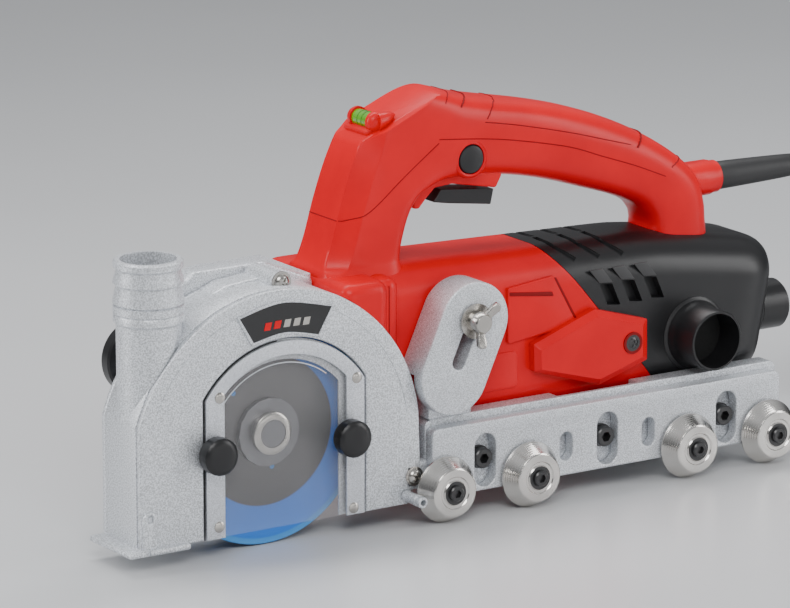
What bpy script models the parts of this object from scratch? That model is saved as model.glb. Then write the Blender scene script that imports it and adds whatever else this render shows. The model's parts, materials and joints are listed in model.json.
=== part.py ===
"""Wall chaser: a twin-column handle and motor over a roller base, with a pack of diamond blades in a guard.

Frame: +X runs from the blades to the motor's rear, +Y away from the near side, where the roller plate with
the three adjusting slots is, and +Z up. The floor that the rollers stand on is Z = 0, the motor's centre
plane is Y = 0 and X = 0 is the middle of the machine without its lead. Every length is in metres.
"""
import math

import bmesh
import bpy
from mathutils import Matrix, Vector

# Driving dimensions
BLADE_R = 0.0665            # 133 mm diamond blades
SPINDLE_X = -0.1475
SPINDLE_Z = 0.0669
NEAR_Y = -0.054             # front plane of the blade guard
GEAR_CENTRES = 0.02125      # spindle to layshaft
MOTOR_Z = SPINDLE_Z + GEAR_CENTRES
GAP = 0.0003                # between pieces that touch
TURN = 32                   # sides of a large turned piece
SMALL_TURN = 12             # sides of a small turned piece

# Blade guard
GUARD_X = SPINDLE_X + 0.0015
GUARD_Z = 0.056
GUARD_R = 0.0955
GUARD_WALL = 0.0035
GUARD_LEFT = -0.2375
GUARD_RIGHT = -0.0500
GUARD_BASE = 0.0125
GUARD_BACK_Y = -0.0120
COVER_THICK = 0.0040
PORT_X = -0.2185
PORT_Y = -0.0335
PORT_R = 0.0197
PORT_TOP = 0.1750
PORT_FOOT = 0.0840
WINDOW_X = GUARD_X + 0.0040
WINDOW_Z = 0.0580
WINDOW_R = 0.0644
WINDOW_LEFT = -0.1955
WINDOW_RIGHT = -0.0880
STRIP_WIDTH = 0.0130

# Blade pack
BLADE_COUNT = 4
BLADE_THICK = 0.0022
SPACER_THICK = 0.0049
BLADE_FRONT_Y = -0.0420
BORE_R = 0.0110

# Motor body
BODY_Y = 0.0370             # half width
BODY_LEFT = -0.0750
BODY_REAR = 0.2170
BODY_TOP = 0.1480
BODY_BOTTOM = 0.0420
BODY_ROUND = 0.0250
BODY_WALL = 0.0030
REAR_LEAN = 0.0190          # how much further back the rear face is at its top
TOP_FALL = 0.0080           # how much lower the top is at the rear
SEAM_TOP_X = 0.0500
SEAM_BOTTOM_X = 0.1400
FLANGE_LEFT = -0.0972
FLANGE_RIGHT = -0.0655
FLANGE_NEAR_Y = -0.0470
FLANGE_FAR_Y = 0.0440
FLANGE_TOP = 0.1450
FLANGE_BOTTOM = 0.0540

# Handle
HANDLE_Y = 0.0220           # half width
HANDLE_ROUND = 0.0090
GRIP_CAVITY_R = 0.0125
SLEEVE_X = (0.1700, 0.1967)  # collar round the cord hole, half on each handle shell
SLEEVE_R = 0.0100
BOOT_START = 0.1970
BOOT_LENGTH = 0.0600
CABLE_Z = 0.1650

# Base
RAIL_NEAR = (-0.0497, -0.0380)
RAIL_X = (-0.0445, 0.2080)
RAIL_Z = (0.0140, 0.0595)
PLATE_Y = (-0.0580, -0.0500)
PLATE_X = (-0.0445, 0.2055)
PLATE_Z = (0.0140, 0.0553)
SLOT_MIDDLE_X = 0.0790
SLOT_PITCH = 0.0868
SLOT_Z = 0.0320
SLOT_HALF = 0.0157
SLOT_R = 0.0072
PIVOT = Vector((0.1165, 0.0, 0.0490))
PIVOT_R = 0.0035
ROLLER_R = 0.0195
ROLLER_RING_R = 0.0142
ROLLER_PLACES = (-0.1160, -0.0570, 0.0570, 0.1160)
AXLE_R = 0.0040
ARM_TOP = (-0.0165, 0.1165)
ARM_LOW = (-0.0305, 0.0855)
ARM_R = 0.0230
ARM_Y = (-0.0600, -0.0376)
ARM_THICK = 0.0080
STUD = (-0.0170, 0.1170)
SLOT_END = (-0.0275, 0.0935)

# Lead
CORD_R = 0.0050
BEND_R = 0.0430             # bends of the lead where it turns down and on the floor
COIL_R = 0.0560             # middle of the coil's turns
COIL_CENTRE = (0.3900, 0.0500)
COIL_WIDTH = 0.0220
COIL_HEIGHT = 0.0300

PARTS = None
CUTTERS = None


def start_scene():
    for obj in list(bpy.data.objects):
        bpy.data.objects.remove(obj, do_unlink=True)
    made = []
    for name in ("wall_chaser", "cutters"):
        collection = bpy.data.collections.new(name)
        bpy.context.scene.collection.children.link(collection)
        made.append(collection)
    return made


def material(name, colour, roughness, metallic=0.0, alpha=1.0):
    made = bpy.data.materials.new(name)
    made.use_nodes = True
    shader = made.node_tree.nodes["Principled BSDF"]
    shader.inputs["Base Color"].default_value = (*colour, 1.0)
    shader.inputs["Roughness"].default_value = roughness
    shader.inputs["Metallic"].default_value = metallic
    shader.inputs["Alpha"].default_value = alpha
    made.diffuse_color = (*colour, alpha)
    return made


def put(name, mesh, finish=None):
    """A new object for this mesh, among the parts if it has a finish and among the cutters if it hasn't."""
    obj = bpy.data.objects.new(name, mesh)
    if finish is None:
        CUTTERS.objects.link(obj)
        obj.hide_render = True
        obj.display_type = "WIRE"
    else:
        PARTS.objects.link(obj)
        mesh.materials.append(finish)
    return obj


def smooth(obj, degrees=35.0):
    obj.data.shade_smooth()
    obj.data.set_sharp_from_angle(angle=math.radians(degrees))
    return obj


def bevel(obj, width, segments=2, limit=40.0):
    modifier = obj.modifiers.new("Rounded edges", "BEVEL")
    modifier.width = width
    modifier.segments = segments
    modifier.limit_method = "ANGLE"
    modifier.angle_limit = math.radians(limit)
    return obj


def combine(obj, other, operation):
    modifier = obj.modifiers.new(f"{operation.title()} {other.name}", "BOOLEAN")
    modifier.operation = operation
    modifier.object = other
    return obj


def cut(obj, *others):
    for other in others:
        combine(obj, other, "DIFFERENCE")
    return obj


def join(obj, *others):
    for other in others:
        combine(obj, other, "UNION")
    return obj


def block(name, low, high, finish=None):
    """A box between two corners, with its origin at its centre."""
    mesh = bpy.data.meshes.new(name)
    cage = bmesh.new()
    size = [high[i] - low[i] for i in range(3)]
    bmesh.ops.create_cube(cage, size=1.0, matrix=Matrix.Diagonal((*size, 1.0)))
    cage.to_mesh(mesh)
    cage.free()
    obj = put(name, mesh, finish)
    obj.location = [(high[i] + low[i]) / 2 for i in range(3)]
    return obj


def rod(name, start, length, radius, axis="Y", finish=None, sides=SMALL_TURN, end_radius=None):
    """A cylinder or cone from start along +X, +Y or +Z, with its origin at its start."""
    mesh = bpy.data.meshes.new(name)
    cage = bmesh.new()
    turn = {"X": Matrix.Rotation(math.pi / 2, 4, "Y"), "Y": Matrix.Rotation(-math.pi / 2, 4, "X"),
            "Z": Matrix.Identity(4)}[axis]
    far = radius if end_radius is None else end_radius
    bmesh.ops.create_cone(cage, cap_ends=True, segments=sides, radius1=radius, radius2=far, depth=length,
                          matrix=turn @ Matrix.Translation((0.0, 0.0, length / 2)))
    cage.to_mesh(mesh)
    cage.free()
    obj = put(name, mesh, finish)
    obj.location = start
    return smooth(obj)


def turned(name, profile, centre, axis="Y", finish=None, sides=TURN):
    """A solid of revolution: profile is a closed ring of (radius, height), its outer side running downwards.

    The heights run along +X, +Y or +Z from centre.
    """
    mesh = bpy.data.meshes.new(name)
    cage = bmesh.new()
    ring = [cage.verts.new((radius, 0.0, height)) for radius, height in profile]
    for here, there in zip(ring, ring[1:]):
        cage.edges.new((here, there))
    if min(radius for radius, _ in profile) > 0:
        cage.edges.new((ring[-1], ring[0]))
    cage.to_mesh(mesh)
    cage.free()
    obj = put(name, mesh, finish)
    screw = obj.modifiers.new("Turn", "SCREW")
    screw.steps = sides
    screw.render_steps = sides
    screw.use_merge_vertices = True
    screw.merge_threshold = 0.00001
    screw.use_smooth_shade = False
    obj.location = centre
    turns = {"X": (0.0, math.pi / 2, 0.0), "Y": (-math.pi / 2, 0.0, 0.0), "Z": (0.0, 0.0, 0.0)}
    obj.rotation_euler = turns[axis]
    return obj


def washer(name, centre, inner, outer, thick, axis="Y", finish=None, sides=TURN):
    """A flat ring from centre along its axis."""
    profile = [(outer, thick), (outer, 0.0), (inner, 0.0), (inner, thick)]
    return turned(name, profile, centre, axis, finish, sides)


def arc(centre, radius, start, end, count):
    """Points on an arc in a plane, its angles in degrees."""
    angles = [math.radians(start + (end - start) * i / count) for i in range(count + 1)]
    return [(centre[0] + radius * math.cos(a), centre[1] + radius * math.sin(a)) for a in angles]


def slot_outline(first, second, radius, count=6):
    """A stadium round two centres."""
    lean = math.degrees(math.atan2(second[1] - first[1], second[0] - first[0]))
    return arc(first, radius, lean + 90, lean + 270, count) + arc(second, radius, lean - 90, lean + 90, count)


def plate(name, outlines, low, high, finish=None):
    """An upright plate from Y = low to Y = high. outlines are lists of (x, z), and any after the first are holes."""
    curve = bpy.data.curves.new(name, "CURVE")
    curve.dimensions = "2D"
    curve.fill_mode = "BOTH"
    curve.extrude = (high - low) / 2
    for outline in outlines:
        spline = curve.splines.new("POLY")
        spline.points.add(len(outline) - 1)
        for point, (x, z) in zip(spline.points, outline):
            point.co = (x, z, 0.0, 1.0)
        spline.use_cyclic_u = True
    flat = bpy.data.objects.new(name, curve)
    flat.rotation_euler = (math.pi / 2, 0.0, 0.0)
    flat.location = (0.0, (low + high) / 2, 0.0)
    return as_mesh(flat, name, finish)


def tube(name, points, radius, finish=None, resolution=2):
    """A round tube along a list of points."""
    curve = bpy.data.curves.new(name, "CURVE")
    curve.dimensions = "3D"
    curve.bevel_depth = radius
    curve.bevel_resolution = resolution
    curve.use_fill_caps = True
    spline = curve.splines.new("POLY")
    spline.points.add(len(points) - 1)
    for point, place in zip(spline.points, points):
        point.co = (*place, 1.0)
    return as_mesh(bpy.data.objects.new(name, curve), name, finish)


def as_mesh(flat, name, finish):
    """Turns a curve object into a welded mesh object of the same name."""
    PARTS.objects.link(flat)
    bpy.context.view_layer.update()
    mesh = bpy.data.meshes.new_from_object(flat.evaluated_get(bpy.context.evaluated_depsgraph_get()))
    place = flat.matrix_world.copy()
    bpy.data.objects.remove(flat, do_unlink=True)
    cage = bmesh.new()
    cage.from_mesh(mesh)
    bmesh.ops.remove_doubles(cage, verts=cage.verts, dist=0.00001)
    bmesh.ops.recalc_face_normals(cage, faces=cage.faces)
    cage.to_mesh(mesh)
    cage.free()
    mesh.materials.clear()
    obj = put(name, mesh, finish)
    obj.name = name
    obj.matrix_world = place
    return obj


def gear_outline(centre, teeth, module, phase=0.0, share=0.40):
    """The outline of a spur gear with narrow straight-sided teeth; phase is in pitches."""
    root = module * teeth / 2 - 1.15 * module
    tip = module * teeth / 2 + 0.85 * module
    pitch = 360.0 / teeth
    points = []
    for tooth in range(teeth):
        middle = (tooth + phase) * pitch
        for radius, offset in ((root, -0.36), (tip, -share * 0.28), (tip, share * 0.28), (root, 0.36)):
            points += arc(centre, radius, middle + offset * pitch, middle, 1)[:1]
    return points


def guard_outline(inset=0.0, base=GUARD_BASE):
    """The D-shaped side outline of the blade guard, moved inwards by inset."""
    radius = GUARD_R - inset
    left = GUARD_LEFT + inset
    right = GUARD_RIGHT - inset
    high = 180 - math.degrees(math.acos((GUARD_X - left) / radius))
    low = math.degrees(math.asin((0.0674 - GUARD_Z) / radius))
    return [(left, base)] + arc((GUARD_X, GUARD_Z), radius, high, low, 26) + [
        (right, 0.0350), (right - 0.0090, base)]


def window_outline(grow=0.0, base=GUARD_BASE):
    """The arched window, whose straight sides run down to the guard's lower edge."""
    radius = WINDOW_R + grow
    left = WINDOW_LEFT - grow
    right = WINDOW_RIGHT + grow
    high = 180 - math.degrees(math.acos((WINDOW_X - left) / radius))
    low = math.degrees(math.acos((right - WINDOW_X) / radius))
    return [(left, base)] + arc((WINDOW_X, WINDOW_Z), radius, high, low, 18) + [(right, base)]


def make_guard(metal, clear, steel, black):
    back = plate("guard_body", [guard_outline(0.0, GUARD_BASE - 0.0007)], NEAR_Y + COVER_THICK + GAP, GUARD_BACK_Y, metal)
    below = 0.0200
    hollow = plate("guard_hollow", [guard_outline(GUARD_WALL, GUARD_BASE - below)],
                   NEAR_Y - below, GUARD_BACK_Y - GUARD_WALL)
    drop = PORT_FOOT - PORT_TOP
    port = turned("port_outside", [(0.0, 0.0), (PORT_R - 0.0020, 0.0), (PORT_R, -0.0020), (PORT_R, -0.0090),
                                   (PORT_R - 0.0020, -0.0100), (PORT_R, -0.0210), (PORT_R - 0.0020, -0.0220),
                                   (PORT_R + 0.0005, -0.0330), (PORT_R + 0.0005, -0.0390), (PORT_R - 0.0012, -0.0410),
                                   (PORT_R - 0.0012, drop), (0.0, drop)],
                  (PORT_X, PORT_Y, PORT_TOP), "Z", None, 24)
    bore = rod("port_bore", (PORT_X, PORT_Y, 0.0620), 0.1300, 0.0160, "Z", None, 20)
    shoe = block("guard_shoe", (GUARD_LEFT - 0.0090, NEAR_Y - 0.0040, 0.0100),
                 (-0.2060, GUARD_BACK_Y + 0.0010, GUARD_BASE - GAP))
    boss = rod("guard_boss", (SPINDLE_X + 0.0045, NEAR_Y + 0.0120, 0.1490), 0.0290, 0.0065)
    shaft_hole = rod("guard_shaft_hole", (SPINDLE_X, -0.0300, SPINDLE_Z), 0.0300, 0.0215, "Y", None, TURN)
    join(back, port)
    cut(back, hollow)
    join(back, shoe, boss)
    cut(back, bore, shaft_hole)
    cover = plate("guard_cover", [guard_outline()], NEAR_Y, NEAR_Y + COVER_THICK, metal)
    opening = plate("window_opening", [window_outline(0.0, GUARD_BASE - below)], NEAR_Y - below, NEAR_Y + below)
    port_relief = rod("port_relief", (PORT_X, PORT_Y, PORT_FOOT - 0.0010), 0.0800, PORT_R - 0.0006, "Z", None, 24)
    cut(cover, opening, port_relief)
    pane_low, pane_high = NEAR_Y + 0.0008, NEAR_Y + 0.0028
    plate("window_pane", [window_outline(-GAP)], pane_low, pane_high, clear)
    for side, x in (("left", WINDOW_LEFT + GAP), ("right", WINDOW_RIGHT - GAP - STRIP_WIDTH)):
        strip = block(f"window_strip_{side}", (x, NEAR_Y - 0.0012, GUARD_BASE + 0.0010),
                      (x + STRIP_WIDTH, pane_low - GAP, 0.0860), steel)
        bevel(strip, 0.0005, 1)
    for side, x, z in (("left", -0.1905, 0.0630), ("right", -0.1015, 0.0600)):
        turned(f"window_knob_{side}", [(0.0, 0.0112), (0.0110, 0.0112), (0.0110, 0.0090), (0.0095, 0.0085),
                                       (0.0095, 0.0012), (0.0088, 0.0), (0.0, 0.0)],
               (x, NEAR_Y - 0.0127, z), "Y", black, 20)
    nozzle = rod("water_nozzle", (-0.0606, NEAR_Y - 0.0186, 0.0179), 0.0183, 0.0032, "Y", metal)
    cut(nozzle, rod("nozzle_bore", (-0.0606, NEAR_Y - 0.0200, 0.0179), 0.0160, 0.0018))


def make_blades(steel, dark):
    y = BLADE_FRONT_Y
    for number in range(1, BLADE_COUNT + 1):
        washer(f"blade_{number}", (SPINDLE_X, y, SPINDLE_Z), BORE_R, BLADE_R, BLADE_THICK, "Y", steel, 36)
        y += BLADE_THICK + GAP
        if number < BLADE_COUNT:
            washer(f"spacer_{number}", (SPINDLE_X, y, SPINDLE_Z), BORE_R, 0.0200, SPACER_THICK, "Y", dark, 16)
            y += SPACER_THICK + GAP
    front = BLADE_FRONT_Y - GAP
    washer("outer_flange", (SPINDLE_X, front - 0.0035, SPINDLE_Z), BORE_R, 0.0200, 0.0035, "Y", dark, 16)
    washer("spindle_nut", (SPINDLE_X, front - 0.0080, SPINDLE_Z), BORE_R - 0.0027, 0.0115, 0.0042, "Y", dark, 16)
    core = BORE_R - GAP
    thread = core - 0.0027
    stack_end = y
    profile = [(0.0, 0.0050), (0.0060, 0.0050), (0.0060, -0.0120), (0.0090, -0.0120), (0.0090, stack_end + 0.0030),
               (0.0200, stack_end + 0.0030), (0.0200, stack_end), (core, stack_end), (core, front - 0.0035),
               (thread, front - 0.0038), (thread, front - 0.0078), (0.0, front - 0.0078)]
    turned("spindle", profile, (SPINDLE_X, 0.0, SPINDLE_Z), "Y", dark, 16)


def make_gears(steel):
    module = 0.00125
    low, high = -0.0085, -0.0020
    driven = plate("spindle_gear", [gear_outline((SPINDLE_X, SPINDLE_Z), 22, module, 0.0)], low, high, steel)
    cut(driven, rod("spindle_gear_bore", (SPINDLE_X, low - 0.0050, SPINDLE_Z), 0.0200, 0.0063))
    layshaft = plate("layshaft", [gear_outline((SPINDLE_X, MOTOR_Z), 12, module, 0.0)], low, high, steel)
    join(layshaft, rod("layshaft_shaft", (SPINDLE_X, -0.0088, MOTOR_Z), 0.0480, 0.0045))
    return driven, layshaft


def bevel_gear(name, teeth, outer, inner, depth, taper, phase=0.0):
    """A conical gear blank with straight teeth, along +Z from its large end, as a loft between two outlines."""
    mesh = bpy.data.meshes.new(name)
    cage = bmesh.new()
    pitch = 2 * math.pi / teeth
    rings = []
    for height, scale in ((0.0, 1.0), (depth, taper)):
        ring = []
        for tooth in range(teeth):
            for radius, offset in ((inner, -0.36), (outer, -0.12), (outer, 0.12), (inner, 0.36)):
                turn = (tooth + phase + offset) * pitch
                ring.append(cage.verts.new((radius * scale * math.cos(turn), radius * scale * math.sin(turn), height)))
        rings.append(ring)
    bmesh.ops.contextual_create(cage, geom=rings[0])
    bmesh.ops.contextual_create(cage, geom=rings[1])
    count = len(rings[0])
    for i in range(count):
        cage.faces.new((rings[0][i], rings[0][(i + 1) % count], rings[1][(i + 1) % count], rings[1][i]))
    bmesh.ops.recalc_face_normals(cage, faces=cage.faces)
    cage.to_mesh(mesh)
    cage.free()
    return mesh


def make_motor(steel, copper, iron, plastic, dark):
    pinion_x = SPINDLE_X + 0.0185
    shaft = rod("armature_shaft", (pinion_x - 0.0010, 0.0, MOTOR_Z), 0.2950, 0.0050, "X", steel, 20)
    pinion = put("bevel_pinion", bevel_gear("bevel_pinion", 8, 0.0060, 0.0045, 0.0070, 0.57))
    pinion.matrix_world = Matrix.Translation((pinion_x, 0.0, MOTOR_Z)) @ Matrix.Rotation(-math.pi / 2, 4, "Y")
    join(shaft, pinion)
    crown = put("bevel_gear", bevel_gear("bevel_gear", 24, 0.0190, 0.0172, 0.0018, 0.72, 0.5), steel)
    crown.matrix_world = Matrix.Translation((SPINDLE_X, 0.0064, MOTOR_Z)) @ Matrix.Rotation(math.pi / 2, 4, "X")
    join(crown, rod("bevel_gear_web", (SPINDLE_X, 0.0060, MOTOR_Z), 0.0060, 0.0160, "Y", None, 20))
    cut(crown, rod("bevel_gear_bore", (SPINDLE_X, 0.0, MOTOR_Z), 0.0300, 0.0048))
    bore = 0.0050 + GAP
    washer("front_bearing", (-0.0900, 0.0, MOTOR_Z), bore, 0.0112, 0.0100, "X", steel, 16)
    washer("fan", (-0.0480, 0.0, MOTOR_Z), bore, 0.0310, 0.0120, "X", plastic, 20)
    washer("rotor_core", (-0.0330, 0.0, MOTOR_Z), bore, 0.0200, 0.0700, "X", iron, 16)
    washer("stator", (-0.0345, 0.0, MOTOR_Z), 0.0212, 0.0325, 0.0740, "X", copper, 20)
    washer("commutator", (0.0560, 0.0, MOTOR_Z), bore, 0.0140, 0.0220, "X", copper, 16)
    washer("rear_bearing", (0.1500, 0.0, MOTOR_Z), bore, 0.0130, 0.0090, "X", steel, 16)
    for side, y in (("near", -0.0320), ("far", 0.0143)):
        block(f"brush_{side}", (0.0620, y, MOTOR_Z - 0.0040), (0.0720, y + 0.0177, MOTOR_Z + 0.0040), dark)


def make_gear_case(metal):
    outline = [(-0.0975, 0.0400), (-0.0975, 0.1460), (-0.1400, 0.1460)]
    outline += arc((-0.1400, 0.1060), 0.0400, 90, 180, 8) + [(-0.1800, 0.0600), (-0.1600, 0.0400)]
    case = plate("gear_case", [outline], -0.0110, 0.0440, metal)
    bevel(case, 0.0050, 2, 50.0)
    cut(case, block("gear_room", (-0.1740, -0.0090, 0.0450), (-0.0900, 0.0400, 0.1300)),
        rod("gear_case_hole", (SPINDLE_X, -0.0200, SPINDLE_Z), 0.0400, 0.0165, "Y", None, 28))
    washer("spindle_bearing", (SPINDLE_X, -0.0112, SPINDLE_Z), 0.0063, 0.0162, 0.0025, "Y", metal, 16)
    return case


def body_shape(name, inset, finish=None, left=BODY_LEFT, extra=0.0):
    """The rounded motor body, moved inwards by inset. Its rear face leans and its top falls to the rear."""
    low, high = BODY_BOTTOM + inset, BODY_TOP - inset
    half = BODY_Y - inset
    rear = BODY_REAR - inset + extra
    mesh = bpy.data.meshes.new(name)
    cage = bmesh.new()
    bmesh.ops.create_cube(cage, size=1.0)
    for vert in cage.verts:
        back = vert.co.x > 0
        top = vert.co.z > 0
        vert.co.y = half if vert.co.y > 0 else -half
        vert.co.x = (rear - (0.0 if top else REAR_LEAN)) if back else left
        vert.co.z = (high - (TOP_FALL if back else 0.0)) if top else low
    long_edges = [e for e in cage.edges if abs(e.verts[0].co.x - e.verts[1].co.x) > 0.05]
    bmesh.ops.bevel(cage, geom=long_edges, offset=BODY_ROUND - inset, segments=6, profile=0.5, affect="EDGES")
    cage.to_mesh(mesh)
    cage.free()
    return smooth(put(name, mesh, finish))


def seam_wedge(name, keep_front, shift):
    """A cutter with the slanted seam between the front and the rear housing as one of its sides."""
    lean = (SEAM_BOTTOM_X - SEAM_TOP_X) / (BODY_TOP - BODY_BOTTOM)
    margin = 0.0300
    low, high = BODY_BOTTOM - margin, BODY_TOP + margin
    top_x = SEAM_TOP_X - margin * lean + shift
    bottom_x = SEAM_BOTTOM_X + margin * lean + shift
    end = 0.3500 if keep_front else -0.2500
    return plate(name, [[(top_x, high), (bottom_x, low), (end, low), (end, high)]], -0.0900, 0.0900)


def make_housings(red, black):
    front = body_shape("motor_housing", 0.0, red)
    flange = bevel(block("housing_flange", (FLANGE_LEFT, FLANGE_NEAR_Y, FLANGE_BOTTOM),
                         (FLANGE_RIGHT, FLANGE_FAR_Y, FLANGE_TOP)), 0.0080, 2)
    shift = GAP / 2
    join(front, flange)
    cut(front, body_shape("front_hollow", BODY_WALL, None, FLANGE_LEFT - 0.0200, 0.1000),
        seam_wedge("seam_front", True, -shift))
    rear = body_shape("rear_housing", 0.0, black)
    cut(rear, body_shape("rear_hollow", BODY_WALL, None, BODY_LEFT - 0.0200), seam_wedge("seam_rear", False, shift))
    boss = rod("bearing_boss", (BODY_REAR - 0.0200, 0.0, 0.0800), 0.0495, 0.0152, "X", None, 28)
    join(rear, boss)
    for number in range(3):
        x = 0.0900 + 0.0160 * number
        vent = block(f"side_vent_{number + 1}", (x, -BODY_Y - 0.0200, 0.1080), (x + 0.0080, -BODY_Y + 0.0100, 0.1210))
        vent.rotation_euler = (0.0, math.radians(-35.0), 0.0)
        cut(rear, vent)
    for number in range(3):
        x = 0.0640 + 0.0150 * number
        louvre = block(f"top_vent_{number + 1}", (x, -0.0260, BODY_TOP - 0.0200), (x + 0.0040, 0.0100, BODY_TOP + 0.0200))
        cut(rear, louvre)
    pipe_x, pipe_z = 0.1565, 0.0805
    cut(rear, rod("pipe_socket", (pipe_x, -BODY_Y - 0.0200, pipe_z), 0.0300, 0.0150, "Y", None, 32))
    washer("exhaust_pipe", (pipe_x, -0.0600, pipe_z), 0.0166, 0.0182, 0.0600 - BODY_Y - GAP, "Y", black, 24)
    cut(front, plate("guard_clearance", [guard_outline(-0.0006, 0.0300)], NEAR_Y - 0.0100, GUARD_BACK_Y + GAP))
    clearance = PIVOT_R + 0.00025
    pivot_hole = rod("pivot_hole", (PIVOT.x, -0.0600, PIVOT.z), 0.1200, clearance, "Y", None, 20)
    cut(front, pivot_hole)
    stud_hole = rod("stud_hole", (STUD[0], -0.0600, STUD[1]), 0.0300, 0.0036)
    cut(front, stud_hole)
    cover = plate("brush_cover", [[(0.0350, 0.0910), (0.0780, 0.1075), (0.1165, 0.0965), (0.1170, 0.0705),
                                   (0.0835, 0.0615), (0.0355, 0.0765)]], -BODY_Y - 0.0080, -BODY_Y - GAP, red)
    bevel(cover, 0.0040, 1, 50.0)


def handle_outline():
    """The closed loop of the handle: its outer edge over both columns, and its inner edge back."""
    outer = [(-0.0835, 0.1484), (-0.0490, 0.2320), (-0.0440, 0.2380), (-0.0110, 0.2450), (0.0040, 0.2445),
             (0.0270, 0.2400), (0.0560, 0.2335), (0.0840, 0.2245), (0.1130, 0.2125), (0.1420, 0.1985),
             (0.1680, 0.1830), (0.1830, 0.1710), (0.1890, 0.1580), (0.1880, 0.1430)]
    inner = [(0.1340, 0.1430), (0.1330, 0.1560), (0.1270, 0.1640), (0.1170, 0.1700), (0.0980, 0.1760),
             (0.0690, 0.1845), (0.0380, 0.1915), (0.0080, 0.1940), (-0.0120, 0.1915), (-0.0260, 0.1830),
             (-0.0350, 0.1720), (-0.0450, 0.1484)]
    return outer + inner


def make_handle(red, black, green):
    sides = (("near", -HANDLE_Y, -GAP / 2), ("far", GAP / 2, HANDLE_Y))
    for side, low, high in sides:
        shell = plate(f"handle_{side}", [handle_outline()], low, high, red)
        outer_edge = low if side == "near" else high
        bevel_outer_edge(shell, outer_edge)
        smooth(shell)
        cavity = tube(f"handle_cavity_{side}", [(-0.0200, 0.0, 0.2180), (0.0300, 0.0, 0.2170), (0.0900, 0.0, 0.2030),
                                                 (0.1500, 0.0, 0.1760)], GRIP_CAVITY_R)
        cut(shell, cavity)
        collar = rod(f"cord_collar_{side}", (SLEEVE_X[0], 0.0, CABLE_Z), SLEEVE_X[1] - SLEEVE_X[0], SLEEVE_R, "X")
        waste = (high, high + 0.0200) if side == "near" else (low - 0.0200, low)
        cut(collar, block(f"collar_waste_{side}", (SLEEVE_X[0] - 0.0100, waste[0], CABLE_Z - 0.0200),
                          (SLEEVE_X[1] + 0.0100, waste[1], CABLE_Z + 0.0200)))
        join(shell, collar)
        cut(shell, block(f"trigger_slot_{side}", (-0.0130, -0.0085, 0.1700), (0.0330, 0.0085, 0.2180)),
            rod(f"cord_hole_{side}", (0.1400, 0.0, CABLE_Z), 0.0700, 0.0070, "X"),
            block(f"vial_seat_{side}", (-0.0570, -0.0080, 0.2260), (-0.0410, 0.0080, 0.2450)))
        if side == "near":
            cut(shell, rod("lock_hole", (0.0085, -0.0300, 0.2035), 0.0250, 0.0080, "Y", None, 14))
            shell.modifiers[-1].solver = "MANIFOLD"
    block("spirit_level", (-0.0485, -0.0077, 0.2263), (-0.0413, 0.0077, 0.2330), green)
    block("switch_box", (-0.0080, -0.0080, 0.2120), (0.0250, 0.0080, 0.2220), black)
    trigger = plate("trigger", [[(-0.0110, 0.1760), (-0.0060, 0.1830), (0.0310, 0.1790), (0.0290, 0.1700),
                                 (0.0000, 0.1740)]], -0.0080, 0.0080, black)
    bevel(trigger, 0.0015, 1)
    rod("lock_button", (0.0085, -0.0225, 0.2035), 0.0110, 0.0075, "Y", black, 20)
    boot = turned("strain_relief", [(0.0, BOOT_LENGTH), (CORD_R + 0.0015, BOOT_LENGTH), (0.0085, 0.0080), (0.0088, 0.0),
                                    (0.0, 0.0)], (BOOT_START, 0.0, CABLE_Z), "X", black, 24)
    return boot


def bevel_outer_edge(shell, y):
    """Rounds the edges of a half shell that lie in its outer face."""
    cage = bmesh.new()
    cage.from_mesh(shell.data)
    matrix = shell.matrix_world
    edges = [e for e in cage.edges if all(abs((matrix @ v.co).y - y) < 0.0001 for v in e.verts)
             and len(e.link_faces) == 2 and e.calc_face_angle(0.0) > 1.0]
    bmesh.ops.bevel(cage, geom=edges, offset=HANDLE_ROUND, segments=4, profile=0.5, affect="EDGES")
    cage.to_mesh(shell.data)
    cage.free()


def rounded_bar(x, z, corner):
    """A rectangle in the side plane with rounded corners."""
    points = arc((x[1] - corner, z[1] - corner), corner, 0, 90, 4)
    points += arc((x[0] + corner, z[1] - corner), corner, 90, 180, 4)
    points += arc((x[0] + corner, z[0] + corner), corner, 180, 270, 4)
    return points + arc((x[1] - corner, z[0] + corner), corner, 270, 360, 4)


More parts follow.
